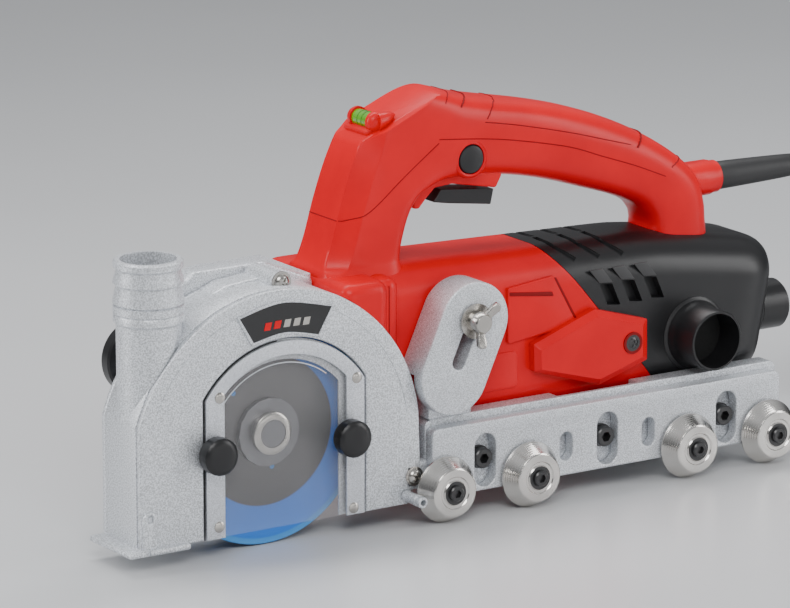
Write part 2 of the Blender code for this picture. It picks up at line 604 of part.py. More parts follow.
def make_base(metal, steel, dark):
    frame = plate("base_frame", [rounded_bar(RAIL_X, RAIL_Z, 0.0060)], *RAIL_NEAR, metal)
    far_rail = plate("far_rail", [rounded_bar(RAIL_X, RAIL_Z, 0.0060)], -RAIL_NEAR[1], -RAIL_NEAR[0])
    bridge = block("base_bridge", (0.0800, RAIL_NEAR[0] + 0.0050, 0.0200), (0.1900, -RAIL_NEAR[0] - 0.0050, 0.0265))
    join(frame, far_rail, bridge)
    cut(frame, block("cover_relief", (0.0500, RAIL_NEAR[0] + 0.0026, RAIL_Z[1] - 0.0046),
                     (0.1080, RAIL_NEAR[1] + 0.0010, RAIL_Z[1] + 0.0010)))
    for side in (-1, 1):
        for number in (-1, 0, 1):
            x = SLOT_MIDDLE_X + number * SLOT_PITCH
            name = f"slot_screw_{'near' if side < 0 else 'far'}_{number + 2}"
            start = -0.0590 if side < 0 else -RAIL_NEAR[0] - 0.0020
            join(frame, rod(name, (x, start, SLOT_Z + 0.0005), 0.0113, 0.0062))
    cut(frame, rod("pin_hole", (PIVOT.x, -0.0700, PIVOT.z), 0.1400, PIVOT_R + GAP))
    rod("pivot_pin", (PIVOT.x, RAIL_NEAR[0], PIVOT.z), -2 * RAIL_NEAR[0], PIVOT_R, "Y", steel)
    for side, low, high in (("near", *PLATE_Y), ("far", -PLATE_Y[1], -PLATE_Y[0])):
        outlines = [rounded_bar(PLATE_X, PLATE_Z, 0.0050)]
        for number in (-1, 0, 1):
            x = SLOT_MIDDLE_X + number * SLOT_PITCH
            reach = SLOT_HALF - SLOT_R
            outlines.append(slot_outline((x, SLOT_Z - reach), (x, SLOT_Z + reach), SLOT_R))
        for x in (SLOT_MIDDLE_X - 0.0296, SLOT_MIDDLE_X + 0.0296):
            outlines.append(slot_outline((x, 0.0275), (x, 0.0355), 0.0045, 4))
        wheel_plate = plate(f"wheel_plate_{side}", outlines, low, high, metal)
        for number, offset in enumerate(ROLLER_PLACES, 1):
            x = SLOT_MIDDLE_X + offset
            if side == "near":
                axle = turned(f"axle_near_{number}", [(0.0, 0.0200), (AXLE_R, 0.0200), (AXLE_R, 0.0020),
                                                     (0.0058, 0.0020), (0.0058, 0.0), (0.0, 0.0)],
                              (x, -0.0730, ROLLER_R), "Y", None, SMALL_TURN)
            else:
                axle = turned(f"axle_far_{number}", [(0.0, 0.0730), (0.0058, 0.0730), (0.0058, 0.0710),
                                                    (AXLE_R, 0.0710), (AXLE_R, 0.0530), (0.0, 0.0530)],
                              (x, 0.0, ROLLER_R), "Y", None, SMALL_TURN)
            join(wheel_plate, axle)
            roller(f"roller_{side}_{number}", x, side, steel)


def roller(name, x, side, steel):
    """A conical roller: its large end by the plate, and a flat ring at its outer end."""
    inner = AXLE_R + 0.0003
    large, ring = 0.0588, 0.0705
    profile = [(inner, ring), (ROLLER_RING_R, ring), (ROLLER_RING_R + 0.0006, ring - 0.0015), (ROLLER_R, large + 0.0030),
               (ROLLER_R, large), (inner, large)]
    if side == "near":
        profile = [(radius, -height) for radius, height in reversed(profile)]
    turned(name, profile, (x, 0.0, ROLLER_R), "Y", steel, 20)


def make_arm(metal, steel):
    hole = slot_outline(SLOT_END, STUD, 0.0043)
    outlines = [slot_outline(ARM_LOW, ARM_TOP, ARM_R, 14), slot_outline(SLOT_END, STUD, 0.0043)]
    arm = plate("depth_arm", outlines, ARM_Y[0], ARM_Y[1], metal)
    cut(arm, block("arm_relief", (-0.0700, ARM_Y[0] + ARM_THICK, 0.0500), (0.0200, -0.0300, 0.0880)))
    foot = block("arm_foot", (-0.0440, ARM_Y[0] + ARM_THICK - 0.0010, RAIL_Z[1] + GAP), (-0.0140, -0.0385, 0.0750))
    join(arm, foot)
    lug = math.radians(60.0)
    nut = turned("wing_nut", [(0.0, 0.0380), (0.0032, 0.0380), (0.0032, 0.0082), (0.0105, 0.0082), (0.0105, 0.0062),
                              (0.0085, 0.0050), (0.0070, 0.0), (0.0, 0.0)],
                 (STUD[0], ARM_Y[0] - 0.0085, STUD[1]), "Y", steel, 20)
    for number, turn in enumerate((lug, lug + math.radians(200.0)), 1):
        wing = block(f"wing_{number}", (0.0040, -0.0018, -0.0040), (0.0175, 0.0018, 0.0040))
        wing.location = (STUD[0] + 0.0110 * math.cos(turn), -0.0650, STUD[1] + 0.0110 * math.sin(turn))
        wing.rotation_euler = (math.radians(0.0), -turn, 0.0)
        join(nut, wing)


def smooth_route(points, count):
    """Points at equal steps of the parameter on a Catmull-Rom curve through the given points."""
    made = []
    spans = len(points) - 1
    for i in range(count + 1):
        place = min(i * spans / count, spans - 1e-9)
        k = int(place)
        t = place - k
        p = [Vector(points[max(0, min(spans, k + j))]) for j in (-1, 0, 1, 2)]
        made.append(0.5 * ((2 * p[1]) + (p[2] - p[0]) * t + (2 * p[0] - 5 * p[1] + 4 * p[2] - p[3]) * t ** 2
                           + (3 * p[1] - p[0] - 3 * p[2] + p[3]) * t ** 3))
    return made


def make_lead(rubber):
    start = BOOT_START + BOOT_LENGTH + GAP
    side_y = COIL_CENTRE[1] - COIL_R - COIL_WIDTH / 2 - CORD_R - GAP
    drop_x = start + 0.0100 + BEND_R
    floor_z = CORD_R + GAP
    route = [(start, 0.0, CABLE_Z), (start + 0.0050, 0.0, CABLE_Z)]
    for turn in (90.0, 67.5, 45.0, 22.5, 0.0):
        route.append((drop_x - BEND_R * (1 - math.cos(math.radians(turn))), 0.0,
                      CABLE_Z - BEND_R * (1 - math.sin(math.radians(turn)))))
    route += [(drop_x, 0.0, 0.1000), (drop_x, -0.0003, 0.0730)]
    for turn, side in ((180.0, -0.0020), (202.5, -0.0045), (225.0, -0.0080), (247.5, -0.0120), (270.0, -0.0165)):
        route.append((drop_x + BEND_R * (1 + math.cos(math.radians(turn))), side,
                      floor_z + BEND_R * (1 + math.sin(math.radians(turn)))))
    route += [(drop_x + BEND_R + 0.0180, side_y + 0.0020, floor_z), (COIL_CENTRE[0], side_y, floor_z)]
    tube("power_cord", smooth_route(route, 28), CORD_R, rubber, 2)
    washer("cord_coil", (*COIL_CENTRE, GAP), COIL_R - COIL_WIDTH / 2, COIL_R + COIL_WIDTH / 2, COIL_HEIGHT, "Z",
           rubber, 28)
    low = COIL_HEIGHT + 2 * GAP
    plug = block("power_plug", (COIL_CENTRE[0] + COIL_R - 0.0150, COIL_CENTRE[1] - 0.0370, low),
                 (COIL_CENTRE[0] + COIL_R + 0.0110, COIL_CENTRE[1] + 0.0370, low + 0.0240), rubber)
    bevel(plug, 0.0060, 2)


def build():
    metal = material("cast_aluminium", (0.60, 0.62, 0.64), 0.50, 1.0)
    steel = material("bright_steel", (0.62, 0.61, 0.60), 0.28, 1.0)
    dark = material("dark_steel", (0.12, 0.12, 0.13), 0.40, 1.0)
    red = material("red_plastic", (0.68, 0.02, 0.02), 0.35)
    black = material("black_plastic", (0.03, 0.03, 0.03), 0.45)
    clear = material("clear_pane", (0.80, 0.85, 0.90), 0.10, 0.0, 0.35)
    green = material("level_green", (0.20, 0.60, 0.08), 0.20)
    copper = material("copper", (0.70, 0.35, 0.18), 0.35, 1.0)
    rubber = material("rubber", (0.02, 0.02, 0.02), 0.60)
    make_guard(metal, clear, steel, black)
    make_blades(steel, dark)
    make_gears(steel)
    make_motor(steel, copper, dark, black, dark)
    make_gear_case(metal)
    make_housings(red, black)
    make_handle(red, black, green)
    make_base(metal, steel, dark)
    make_arm(metal, steel)
    make_lead(rubber)


PARTS, CUTTERS = start_scene()
build()
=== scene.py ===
"""Looks of the wall chaser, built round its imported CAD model. Lengths are in metres, in the row's frame."""
import json
import math

import bmesh
import bpy
from mathutils import Matrix, Vector
from mathutils.bvhtree import BVHTree

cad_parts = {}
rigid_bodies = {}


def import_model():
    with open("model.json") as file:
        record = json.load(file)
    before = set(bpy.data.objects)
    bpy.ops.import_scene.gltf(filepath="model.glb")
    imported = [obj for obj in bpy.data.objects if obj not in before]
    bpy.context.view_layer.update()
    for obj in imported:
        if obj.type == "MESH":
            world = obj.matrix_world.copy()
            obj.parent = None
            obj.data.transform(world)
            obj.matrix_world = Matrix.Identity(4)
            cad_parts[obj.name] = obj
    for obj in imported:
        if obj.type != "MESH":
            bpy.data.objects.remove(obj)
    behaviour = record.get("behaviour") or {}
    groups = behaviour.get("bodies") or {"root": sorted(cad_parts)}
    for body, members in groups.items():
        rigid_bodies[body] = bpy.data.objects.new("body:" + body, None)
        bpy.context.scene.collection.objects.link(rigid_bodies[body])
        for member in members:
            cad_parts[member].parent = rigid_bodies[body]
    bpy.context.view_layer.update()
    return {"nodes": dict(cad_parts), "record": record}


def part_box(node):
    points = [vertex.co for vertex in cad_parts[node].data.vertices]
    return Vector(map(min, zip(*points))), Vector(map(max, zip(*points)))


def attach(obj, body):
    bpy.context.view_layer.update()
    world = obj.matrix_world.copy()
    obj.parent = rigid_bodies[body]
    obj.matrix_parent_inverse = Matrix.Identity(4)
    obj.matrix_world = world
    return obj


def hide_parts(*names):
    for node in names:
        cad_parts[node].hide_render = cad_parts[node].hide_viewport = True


bpy.ops.object.select_all(action="SELECT")
bpy.ops.object.delete()
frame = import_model()


def to_scene(obj):
    bpy.context.scene.collection.objects.link(obj)


def mm(points):
    """Points in metres, from points in millimetres."""
    return [tuple(value / 1000.0 for value in point) for point in points]


# ---------------------------------------------------------------- camera, floor, lights
cam_data = bpy.data.cameras.new("camera")
cam_data.lens = 239.7
cam_data.sensor_width = 36.0
cam_data.sensor_fit = "HORIZONTAL"
cam_data.clip_start, cam_data.clip_end = 0.1, 60.0
camera = bpy.data.objects.new("camera", cam_data)
camera.location = (-1.6564, -2.4907, 0.8578)
camera.rotation_euler = (math.radians(76.0), 0.0, math.radians(-33.1))
to_scene(camera)
bpy.context.scene.camera = camera


def area_light(name, place, target, size, power):
    data = bpy.data.lights.new(name, "AREA")
    data.shape = "RECTANGLE"
    data.size, data.size_y = size
    data.energy = power
    lamp = bpy.data.objects.new(name, data)
    lamp.location = place
    lamp.rotation_euler = (Vector(target) - Vector(place)).to_track_quat("-Z", "Y").to_euler()
    to_scene(lamp)


area_light("key", (-0.9, -1.5, 1.5), (0.0, 0.0, 0.08), (1.2, 0.9), 26.0)
area_light("top_strip", (0.1, 0.35, 1.25), (0.05, 0.0, 0.1), (1.5, 0.35), 13.0)
area_light("right_fill", (1.5, -1.2, 0.7), (0.05, 0.0, 0.08), (0.5, 1.2), 14.0)
area_light("left_rim", (-1.3, 0.4, 0.6), (-0.1, 0.0, 0.1), (0.35, 0.9), 9.0)
area_light("low_front", (0.2, -1.6, 0.25), (0.0, 0.0, 0.05), (1.4, 0.25), 3.0)

world = bpy.data.worlds.new("studio")
bpy.context.scene.world = world
world.use_nodes = True
backdrop = world.node_tree
height = backdrop.nodes.new("ShaderNodeSeparateXYZ")
backdrop.links.new(backdrop.nodes.new("ShaderNodeTexCoord").outputs["Generated"], height.inputs["Vector"])
sky = backdrop.nodes.new("ShaderNodeValToRGB")
sky.color_ramp.elements[0].position, sky.color_ramp.elements[0].color = 0.0, (0.1, 0.105, 0.115, 1.0)
sky.color_ramp.elements[1].position, sky.color_ramp.elements[1].color = 0.75, (0.95, 0.97, 1.0, 1.0)
backdrop.links.new(height.outputs["Z"], sky.inputs["Fac"])
backdrop.links.new(sky.outputs["Color"], backdrop.nodes["Background"].inputs["Color"])
backdrop.nodes["Background"].inputs["Strength"].default_value = 0.6


# ---------------------------------------------------------------- materials
BLADE_R = 0.0665


class Look:
    """A procedural material on the Principled shader, in object space."""

    def __init__(self, name, colour, roughness, metallic=0.0, **sockets):
        self.made = bpy.data.materials.new(name)
        self.made.use_nodes = True
        self.tree = self.made.node_tree
        self.shader = self.tree.nodes["Principled BSDF"]
        self.shader.inputs["Base Color"].default_value = (*colour, 1.0)
        self.shader.inputs["Roughness"].default_value = roughness
        self.shader.inputs["Metallic"].default_value = metallic
        for socket, value in sockets.items():
            self.shader.inputs[socket.replace("_", " ")].default_value = value
        self.coords = self.node("TexCoord").outputs["Object"]
        self.colour = colour

    def node(self, kind, **values):
        made = self.tree.nodes.new("ShaderNode" + kind)
        for name, value in values.items():
            if hasattr(made, name):
                setattr(made, name, value)
            else:
                made.inputs[name.replace("_", " ")].default_value = value
        return made

    def link(self, out, into):
        self.tree.links.new(out, into)

    def figure(self, operation, first, second=None):
        """The result of a Math node. second is a socket, a number or nothing."""
        made = self.node("Math", operation=operation)
        self.link(first, made.inputs[0])
        if isinstance(second, float):
            made.inputs[1].default_value = second
        elif second is not None:
            self.link(second, made.inputs[1])
        return made.outputs[0]

    def noise(self, scale, detail=2.0, stretch=(1.0, 1.0, 1.0)):
        mapping = self.node("Mapping")
        mapping.inputs["Scale"].default_value = stretch
        self.link(self.coords, mapping.inputs["Vector"])
        made = self.node("TexNoise", Scale=scale, Detail=detail)
        self.link(mapping.outputs["Vector"], made.inputs["Vector"])
        return made.outputs["Fac"]

    def ramp(self, source, stops):
        made = self.node("ValToRGB")
        while len(made.color_ramp.elements) < len(stops):
            made.color_ramp.elements.new(0.5)
        for element, (place, colour) in zip(made.color_ramp.elements, stops):
            element.position = place
            element.color = (*colour, 1.0)
        self.link(source, made.inputs["Fac"])
        return made.outputs["Color"]

    def tint(self, source, spread, low=0.35, high=0.65):
        """The base colour varies by this share of itself."""
        dark = [c * (1.0 - spread) for c in self.colour]
        light = [min(1.0, c * (1.0 + spread)) for c in self.colour]
        self.link(self.ramp(source, [(low, dark), (high, light)]), self.shader.inputs["Base Color"])
        return self

    def rough(self, source, low, high):
        made = self.node("MapRange")
        made.inputs["To Min"].default_value = low
        made.inputs["To Max"].default_value = high
        self.link(source, made.inputs["Value"])
        self.link(made.outputs["Result"], self.shader.inputs["Roughness"])
        return self

    def bump(self, source, strength, distance):
        made = self.node("Bump", Strength=strength, Distance=distance)
        self.link(source, made.inputs["Height"])
        before = self.shader.inputs["Normal"].links
        if before:
            self.link(before[0].from_socket, made.inputs["Normal"])
        self.link(made.outputs["Normal"], self.shader.inputs["Normal"])
        return self

    def radius(self):
        """Distance from the Y axis through the object's origin, in metres."""
        parts = self.node("SeparateXYZ")
        self.link(self.coords, parts.inputs["Vector"])
        squares = [self.figure("POWER", parts.outputs[axis], 2.0) for axis in ("X", "Z")]
        return self.figure("SQRT", self.figure("ADD", *squares))

    def turned_rings(self, pitch, strength, distance):
        """Fine tool marks in rings round the object's own Y axis."""
        turns = self.figure("MULTIPLY", self.radius(), 2.0 * math.pi / pitch)
        return self.bump(self.figure("SINE", turns), strength, distance)


def casting(name, colour, grain):
    look = Look(name, colour, 0.46, 0.55, Specular_IOR_Level=0.5)
    fine = look.noise(grain, 3.0)
    look.tint(look.noise(grain * 0.8, 2.0), 0.3, 0.38, 0.62)
    look.rough(look.noise(grain * 0.5, 2.0), 0.34, 0.58)
    look.bump(fine, 0.35, 0.00025)
    look.bump(look.noise(22.0, 3.0), 0.12, 0.0012)
    return look.made


def polished(name, colour, roughness, pitch=0.0):
    look = Look(name, colour, roughness, 1.0)
    look.tint(look.noise(60.0, 3.0), 0.07)
    look.rough(look.noise(140.0, 3.0), roughness * 0.75, roughness * 1.35)
    if pitch:
        look.turned_rings(pitch, 0.25, 0.00004)
    else:
        look.bump(look.noise(900.0, 2.0), 0.05, 0.0001)
    return look.made


def moulded(name, colour, roughness, grain, strength, **sockets):
    look = Look(name, colour, roughness, 0.0, **sockets)
    look.tint(look.noise(30.0, 3.0), 0.06)
    look.rough(look.noise(grain * 0.3, 2.0), roughness * 0.88, roughness * 1.14)
    look.bump(look.noise(grain, 2.0), strength, 0.00012)
    return look.made


CAST = casting("cast_metal", (0.62, 0.64, 0.67), 1500.0)
PLATE_METAL = casting("plate_metal", (0.6, 0.62, 0.65), 1900.0)
SMOOTH_METAL = casting("smooth_metal", (0.6, 0.62, 0.66), 3200.0)
TURNED = polished("turned_steel", (0.66, 0.64, 0.61), 0.2, 0.0007)
NICKEL = polished("nickel", (0.46, 0.44, 0.41), 0.24)
DARK_STEEL = polished("dark_steel", (0.17, 0.17, 0.18), 0.34)
BLACK_OXIDE = moulded("black_oxide", (0.013, 0.013, 0.014), 0.3, 900.0, 0.06, Specular_IOR_Level=0.7)
RED = moulded("red_plastic", (0.64, 0.0002, 0.0065), 0.31, 700.0, 0.05, Specular_IOR_Level=0.22)
RED_LINE = moulded("red_joint", (0.2, 0.0006, 0.002), 0.55, 700.0, 0.05, Specular_IOR_Level=0.2)
BLACK = moulded("black_plastic", (0.01, 0.01, 0.011), 0.34, 2200.0, 0.14, Specular_IOR_Level=0.4)
BLACK_RAMP = moulded("black_ramp", (0.034, 0.034, 0.035), 0.5, 2200.0, 0.14)
BLUE = moulded("blue_paint", (0.02, 0.2, 0.56), 0.4, 900.0, 0.05)
# Painted shade: a near-black colour for recesses, holes, slots and gaps, where shade falls.
PAINTED_RECESS_SHADE = moulded("painted_recess_shade", (0.004, 0.004, 0.004), 0.7, 2200.0, 0.1)
BADGE = moulded("badge_black", (0.012, 0.012, 0.013), 0.22, 1200.0, 0.03)
RUBBER = moulded("black_rubber", (0.016, 0.016, 0.017), 0.52, 1300.0, 0.14)
CARBON = moulded("carbon", (0.02, 0.02, 0.021), 0.6, 1500.0, 0.2)
COPPER = polished("copper", (0.72, 0.36, 0.19), 0.32)


def pane_look():
    look = Look("clear_pane", (0.6, 0.6, 0.61), 0.12, 0.0, Alpha=0.1, Specular_IOR_Level=0.5)
    streaks = look.noise(9.0, 2.0, (1.0, 1.0, 0.25))
    look.rough(streaks, 0.08, 0.22)
    look.bump(look.noise(40.0, 2.0), 0.04, 0.0004)
    look.tint(streaks, 0.1)
    return look.made


def blade_look():
    """Satin steel, with a painted band from the rim inwards."""
    look = Look("blade_steel", (0.33, 0.35, 0.38), 0.34, 0.0)
    share = look.figure("DIVIDE", look.radius(), BLADE_R)
    blue, steel = (0.006, 0.16, 0.62), (0.085, 0.081, 0.083)
    band = look.ramp(share, [(0.0, steel), (0.655, steel), (0.668, blue), (0.94, blue),
        (0.95, (0.045, 0.25, 0.62)), (1.0, (0.06, 0.3, 0.68))])
    look.link(band, look.shader.inputs["Base Color"])
    metal = look.ramp(share, [(0.0, (0.7,) * 3), (0.655, (0.7,) * 3), (0.668, (0.05,) * 3)])
    look.link(metal, look.shader.inputs["Metallic"])
    look.rough(look.noise(60.0, 2.0), 0.26, 0.4)
    look.turned_rings(0.0011, 0.15, 0.00003)
    return look.made


def vial_look():
    look = Look("level_liquid", (0.095, 0.34, 0.012), 0.12, 0.0, Coat_Weight=0.8, Coat_Roughness=0.03)
    look.tint(look.noise(90.0, 1.0), 0.12)
    look.bump(look.noise(120.0, 1.0), 0.03, 0.0003)
    return look.made


def floor_look():
    look = Look("pale_floor", (0.62, 0.625, 0.635), 0.32)
    look.tint(look.noise(1.2, 3.0), 0.03)
    look.rough(look.noise(3.0, 2.0), 0.26, 0.36)
    return look.made


PANE = pane_look()
BLADE = blade_look()
VIAL = vial_look()
GREEN_LINE = moulded("level_mark", (0.05, 0.2, 0.02), 0.4, 900.0, 0.05)


# ---------------------------------------------------------------- shape helpers
def hub(u, v):
    """A point of the side view, from millimetres off a point just under the blade's axis."""
    return (u - 147.5) / 1000.0, (v + 66.0) / 1000.0


def turns(count):
    """Equal steps of angle round a circle, in radians."""
    return [2 * math.pi * k / count for k in range(count)]


def arc(centre, radius, start, end, count):
    """Points on an arc, from start to end in degrees."""
    return [(centre[0] + radius * math.cos(math.radians(start + (end - start) * i / count)),
        centre[1] + radius * math.sin(math.radians(start + (end - start) * i / count)))
        for i in range(count + 1)]


def area_of(points):
    return sum(a[0] * b[1] - b[0] * a[1] for a, b in zip(points, points[1:] + points[:1])) / 2.0


def rounded(points, radius, steps=5):
    """The outline with each corner rounded. radius is one number, or one for each corner."""
    made = []
    total = len(points)
    radii = radius if isinstance(radius, (list, tuple)) else [radius] * total
    for i, (corner, want) in enumerate(zip(points, radii)):
        here = Vector(corner)
        before = Vector(points[i - 1]) - here
        after = Vector(points[(i + 1) % total]) - here
        if want <= 0.0:
            made.append(tuple(here))
            continue
        half = before.angle(after) / 2.0
        reach = min(want / math.tan(half), before.length * 0.48, after.length * 0.48)
        size = reach * math.tan(half)
        middle = here + (before.normalized() + after.normalized()).normalized() * (size / math.sin(half))
        first = here + before.normalized() * reach - middle
        last = here + after.normalized() * reach - middle
        turn = first.angle_signed(last)
        for k in range(steps + 1):
            angle = -turn * k / steps
            made.append((middle.x + first.x * math.cos(angle) - first.y * math.sin(angle),
                middle.y + first.x * math.sin(angle) + first.y * math.cos(angle)))
    return made


def slot_shape(low, high, radius, steps=10):
    """A slot's outline from the centre of one end to that of the other."""
    lean = math.degrees(math.atan2(high[1] - low[1], high[0] - low[0]))
    return arc(high, radius, lean - 90.0, lean + 90.0, steps) + arc(low, radius, lean + 90.0, lean + 270.0,
        steps)


def link_mesh(name, mesh, look=None):
    obj = bpy.data.objects.new(name, mesh)
    to_scene(obj)
    if look is not None and not mesh.materials:
        mesh.materials.append(look)
    return obj


def slab(name, outlines, near, far, look=None, edge=0.0006, steps=3):
    """A plate in XZ between two Y places, with rounded edges. The first outline is the outer one."""
    curve = bpy.data.curves.new(name, "CURVE")
    curve.dimensions = "2D"
    curve.fill_mode = "BOTH"
    curve.extrude = (far - near) / 2.0 - edge
    curve.bevel_depth = edge
    curve.bevel_resolution = steps
    curve.offset = -edge
    for number, outline in enumerate(outlines):
        clockwise = area_of(list(outline)) < 0.0
        points = list(outline)
        if clockwise == (number == 0):
            points.reverse()
        spline = curve.splines.new("POLY")
        spline.points.add(len(points) - 1)
        for point, (x, z) in zip(spline.points, points):
            point.co = (x, z, 0.0, 1.0)
        spline.use_cyclic_u = True
    holder = bpy.data.objects.new(name + "_curve", curve)
    to_scene(holder)
    mesh = bpy.data.meshes.new_from_object(holder)
    bpy.data.objects.remove(holder)
    bpy.data.curves.remove(curve)
    mesh.name = name
    mesh.transform(Matrix.Translation((0.0, (near + far) / 2.0, 0.0)) @ Matrix.Rotation(math.pi / 2, 4, "X"))
    weld(mesh)
    return link_mesh(name, mesh, look)


def mesh_of(cage, name):
    mesh = bpy.data.meshes.new(name)
    cage.to_mesh(mesh)
    cage.free()
    return mesh


def weld(mesh):
    cage = bmesh.new()
    cage.from_mesh(mesh)
    bmesh.ops.remove_doubles(cage, verts=cage.verts, dist=2e-6)
    bmesh.ops.dissolve_degenerate(cage, edges=cage.edges, dist=1e-6)
    bmesh.ops.recalc_face_normals(cage, faces=cage.faces)
    cage.to_mesh(mesh)
    cage.free()


def turned(name, profile, place, axis="Y", look=None, sides=48):
    """A solid turned from (radius, height) points, which start and end on the axis or make a ring."""
    cage = bmesh.new()
    ring = abs(profile[0][0]) > 1e-9
    rows = []
    for radius, height in profile:
        if radius < 1e-9:
            rows.append([cage.verts.new((0.0, 0.0, height))])
        else:
            rows.append([cage.verts.new((radius * math.cos(2 * math.pi * i / sides),
                radius * math.sin(2 * math.pi * i / sides), height)) for i in range(sides)])
    pairs = list(zip(rows, rows[1:])) + ([(rows[-1], rows[0])] if ring else [])
    for a, b in pairs:
        for i in range(sides):
            j = (i + 1) % sides
            if len(a) == 1:
                cage.faces.new((a[0], b[i], b[j]))
            elif len(b) == 1:
                cage.faces.new((a[i], b[0], a[j]))
            else:
                cage.faces.new((a[i], b[i], b[j], a[j]))
    bmesh.ops.recalc_face_normals(cage, faces=cage.faces)
    mesh = mesh_of(cage, name)
    turn = {"X": Matrix.Rotation(math.pi / 2, 4, "Y"), "Y": Matrix.Rotation(-math.pi / 2, 4, "X"),
        "Z": Matrix.Identity(4)}[axis]
    mesh.transform(turn)
    obj = link_mesh(name, mesh, look)
    obj.location = place
    return obj


def disc(name, radius, depth, place, axis="Y", look=None, sides=48):
    """A plain round solid that starts at place."""
    return turned(name, [(0.0, 0.0), (radius, 0.0), (radius, depth), (0.0, depth)], place, axis, look, sides)


def block(name, low, high, look=None, edge=0.0, steps=2, turn=None):
    """A box between two corners with rounded edges, turned about its middle."""
    cage = bmesh.new()
    size = [high[i] - low[i] for i in range(3)]
    bmesh.ops.create_cube(cage, size=1.0, matrix=Matrix.Diagonal((*size, 1.0)))
    if edge:
        bmesh.ops.bevel(cage, geom=list(cage.edges), offset=edge, segments=steps, profile=0.5, affect="EDGES")
    mesh = mesh_of(cage, name)
    middle = Matrix.Translation([(high[i] + low[i]) / 2 for i in range(3)])
    mesh.transform(middle @ (turn or Matrix.Identity(4)))
    return link_mesh(name, mesh, look)


def loft(name, rings, look=None, caps=True):
    """A closed skin through rings of equal counts of points."""
    cage = bmesh.new()
    rows = [[cage.verts.new(point) for point in ring] for ring in rings]
    count = len(rows[0])
    for a, b in zip(rows, rows[1:]):
        for i in range(count):
            j = (i + 1) % count
            cage.faces.new((a[i], a[j], b[j], b[i]))
    if caps:
        cage.faces.new(rows[0][::-1])
        cage.faces.new(rows[-1])
    bmesh.ops.recalc_face_normals(cage, faces=cage.faces)
    mesh = mesh_of(cage, name)
    return link_mesh(name, mesh, look)


def bake(obj):
    """Applies the modifiers and the object's own place."""
    bpy.context.view_layer.update()
    graph = bpy.context.evaluated_depsgraph_get()
    mesh = bpy.data.meshes.new_from_object(obj.evaluated_get(graph))
    mesh.transform(obj.matrix_world)
    obj.modifiers.clear()
    obj.data = mesh
    obj.matrix_world = Matrix.Identity(4)
    return obj


def combine(obj, others, operation):
    for other in others:
        tool = obj.modifiers.new(operation.lower(), "BOOLEAN")
        tool.operation = operation
        tool.object = other
        tool.solver = "EXACT"
    bake(obj)
    for other in others:
        bpy.data.objects.remove(other)
    return obj


def cut(obj, *others):
    return combine(obj, others, "DIFFERENCE")


def unite(obj, *others):
    return combine(obj, others, "UNION")


def gather(name, *objs):
    """One object from several, each with its own material."""
    for obj in objs:
        bake(obj)
    cage = bmesh.new()
    looks = []
    for obj in objs:
        first = len(cage.faces)
        cage.from_mesh(obj.data)
        cage.faces.ensure_lookup_table()
        slots = list(obj.data.materials) or [None]
        places = []
        for look in slots:
            if look not in looks:
                looks.append(look)
            places.append(looks.index(look))
        for face in cage.faces[first:]:
            face.material_index = places[min(face.material_index, len(places) - 1)]
    mesh = mesh_of(cage, name)
    for look in looks:
        mesh.materials.append(look)
    for obj in objs:
        bpy.data.objects.remove(obj)
    return link_mesh(name, mesh)


def piece(obj, body, stands=(), angle=38.0):
    """Smooth shading with sharp edges kept, the body and the CAD nodes that this stands for."""
    mesh = obj.data
    mesh.polygons.foreach_set("use_smooth", [True] * len(mesh.polygons))
    mesh.set_sharp_from_angle(angle=math.radians(angle))
    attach(obj, body)
    if stands:
        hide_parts(*stands)
    return obj


def smooth_line(points, count):
    """Rows of numbers on a smooth curve through the given rows."""
    made = []
    spans = len(points) - 1
    for i in range(count + 1):
        place = min(i * spans / count, spans - 1e-9)
        k = int(place)
        t = place - k
        near = [points[max(0, min(spans, k + j))] for j in (-1, 0, 1, 2)]
        made.append([0.5 * (2 * b + (c - a) * t + (2 * a - 5 * b + 4 * c - d) * t ** 2
            + (3 * b - a - 3 * c + d) * t ** 3) for a, b, c, d in zip(*near)])
    return made


def pipe_mesh(name, points, radius, look=None, sides=8):
    """A round bar along the points, closed at its ends."""
    points = [Vector(p) for p in points]
    rings = []
    normal = None
    for i, point in enumerate(points):
        along = (points[min(i + 1, len(points) - 1)] - points[max(i - 1, 0)]).normalized()
        if normal is None:
            normal = along.orthogonal().normalized()
        normal = (normal - along * normal.dot(along)).normalized()
        side = along.cross(normal)
        rings.append([point + (normal * math.cos(2 * math.pi * k / sides) + side
            * math.sin(2 * math.pi * k / sides)) * radius for k in range(sides)])
    return loft(name, rings, look)


def surface_of(obj):
    bake(obj)
    return BVHTree.FromPolygons([v.co.copy() for v in obj.data.vertices],
        [tuple(p.vertices) for p in obj.data.polygons])


def joint_line(name, tree, points, look, radius=0.00035, count=30, side=-1.0):
    """A thin line that lies on the near or far side of a surface, through (x, z) points."""
    made = []
    for x, z in [(p[0], p[1]) for p in smooth_line([(x, z, 0.0) for x, z in points], count)]:
        hit = tree.ray_cast(Vector((x, 0.2 * side, z)), Vector((0.0, -side, 0.0)))[0]
        if hit is not None:
            made.append(hit)
    return pipe_mesh(name, made, radius, look, 6)


def socket_screw(name, x, z, face_y, look=BLACK_OXIDE, radius=0.0065, deep=0.004, side=-1.0):
    """A cap screw's head with its hexagon socket, standing out of a face on the near or far side."""
    head = turned(name, [(0.0, 0.0), (radius, 0.0), (radius, deep - 0.0007), (radius - 0.0007, deep),
        (0.0, deep)], (x, face_y, z), "Y", look, 32)
    bake(head)
    if side < 0:
        head.data.transform(Matrix.Translation((x, face_y, z)) @ Matrix.Rotation(math.pi, 4,
            "Z") @ Matrix.Translation((-x, -face_y, -z)))
    hexagon = [(x + radius * 0.52 * math.cos(math.radians(60 * k)), z + radius * 0.52
        * math.sin(math.radians(60 * k))) for k in range(6)]
    tip = face_y + side * deep
    low, high = sorted((tip - side * deep * 0.7, tip + side * 0.002))
    return cut(head, slab(name + "_socket", [hexagon], low, high, None, 0.0))


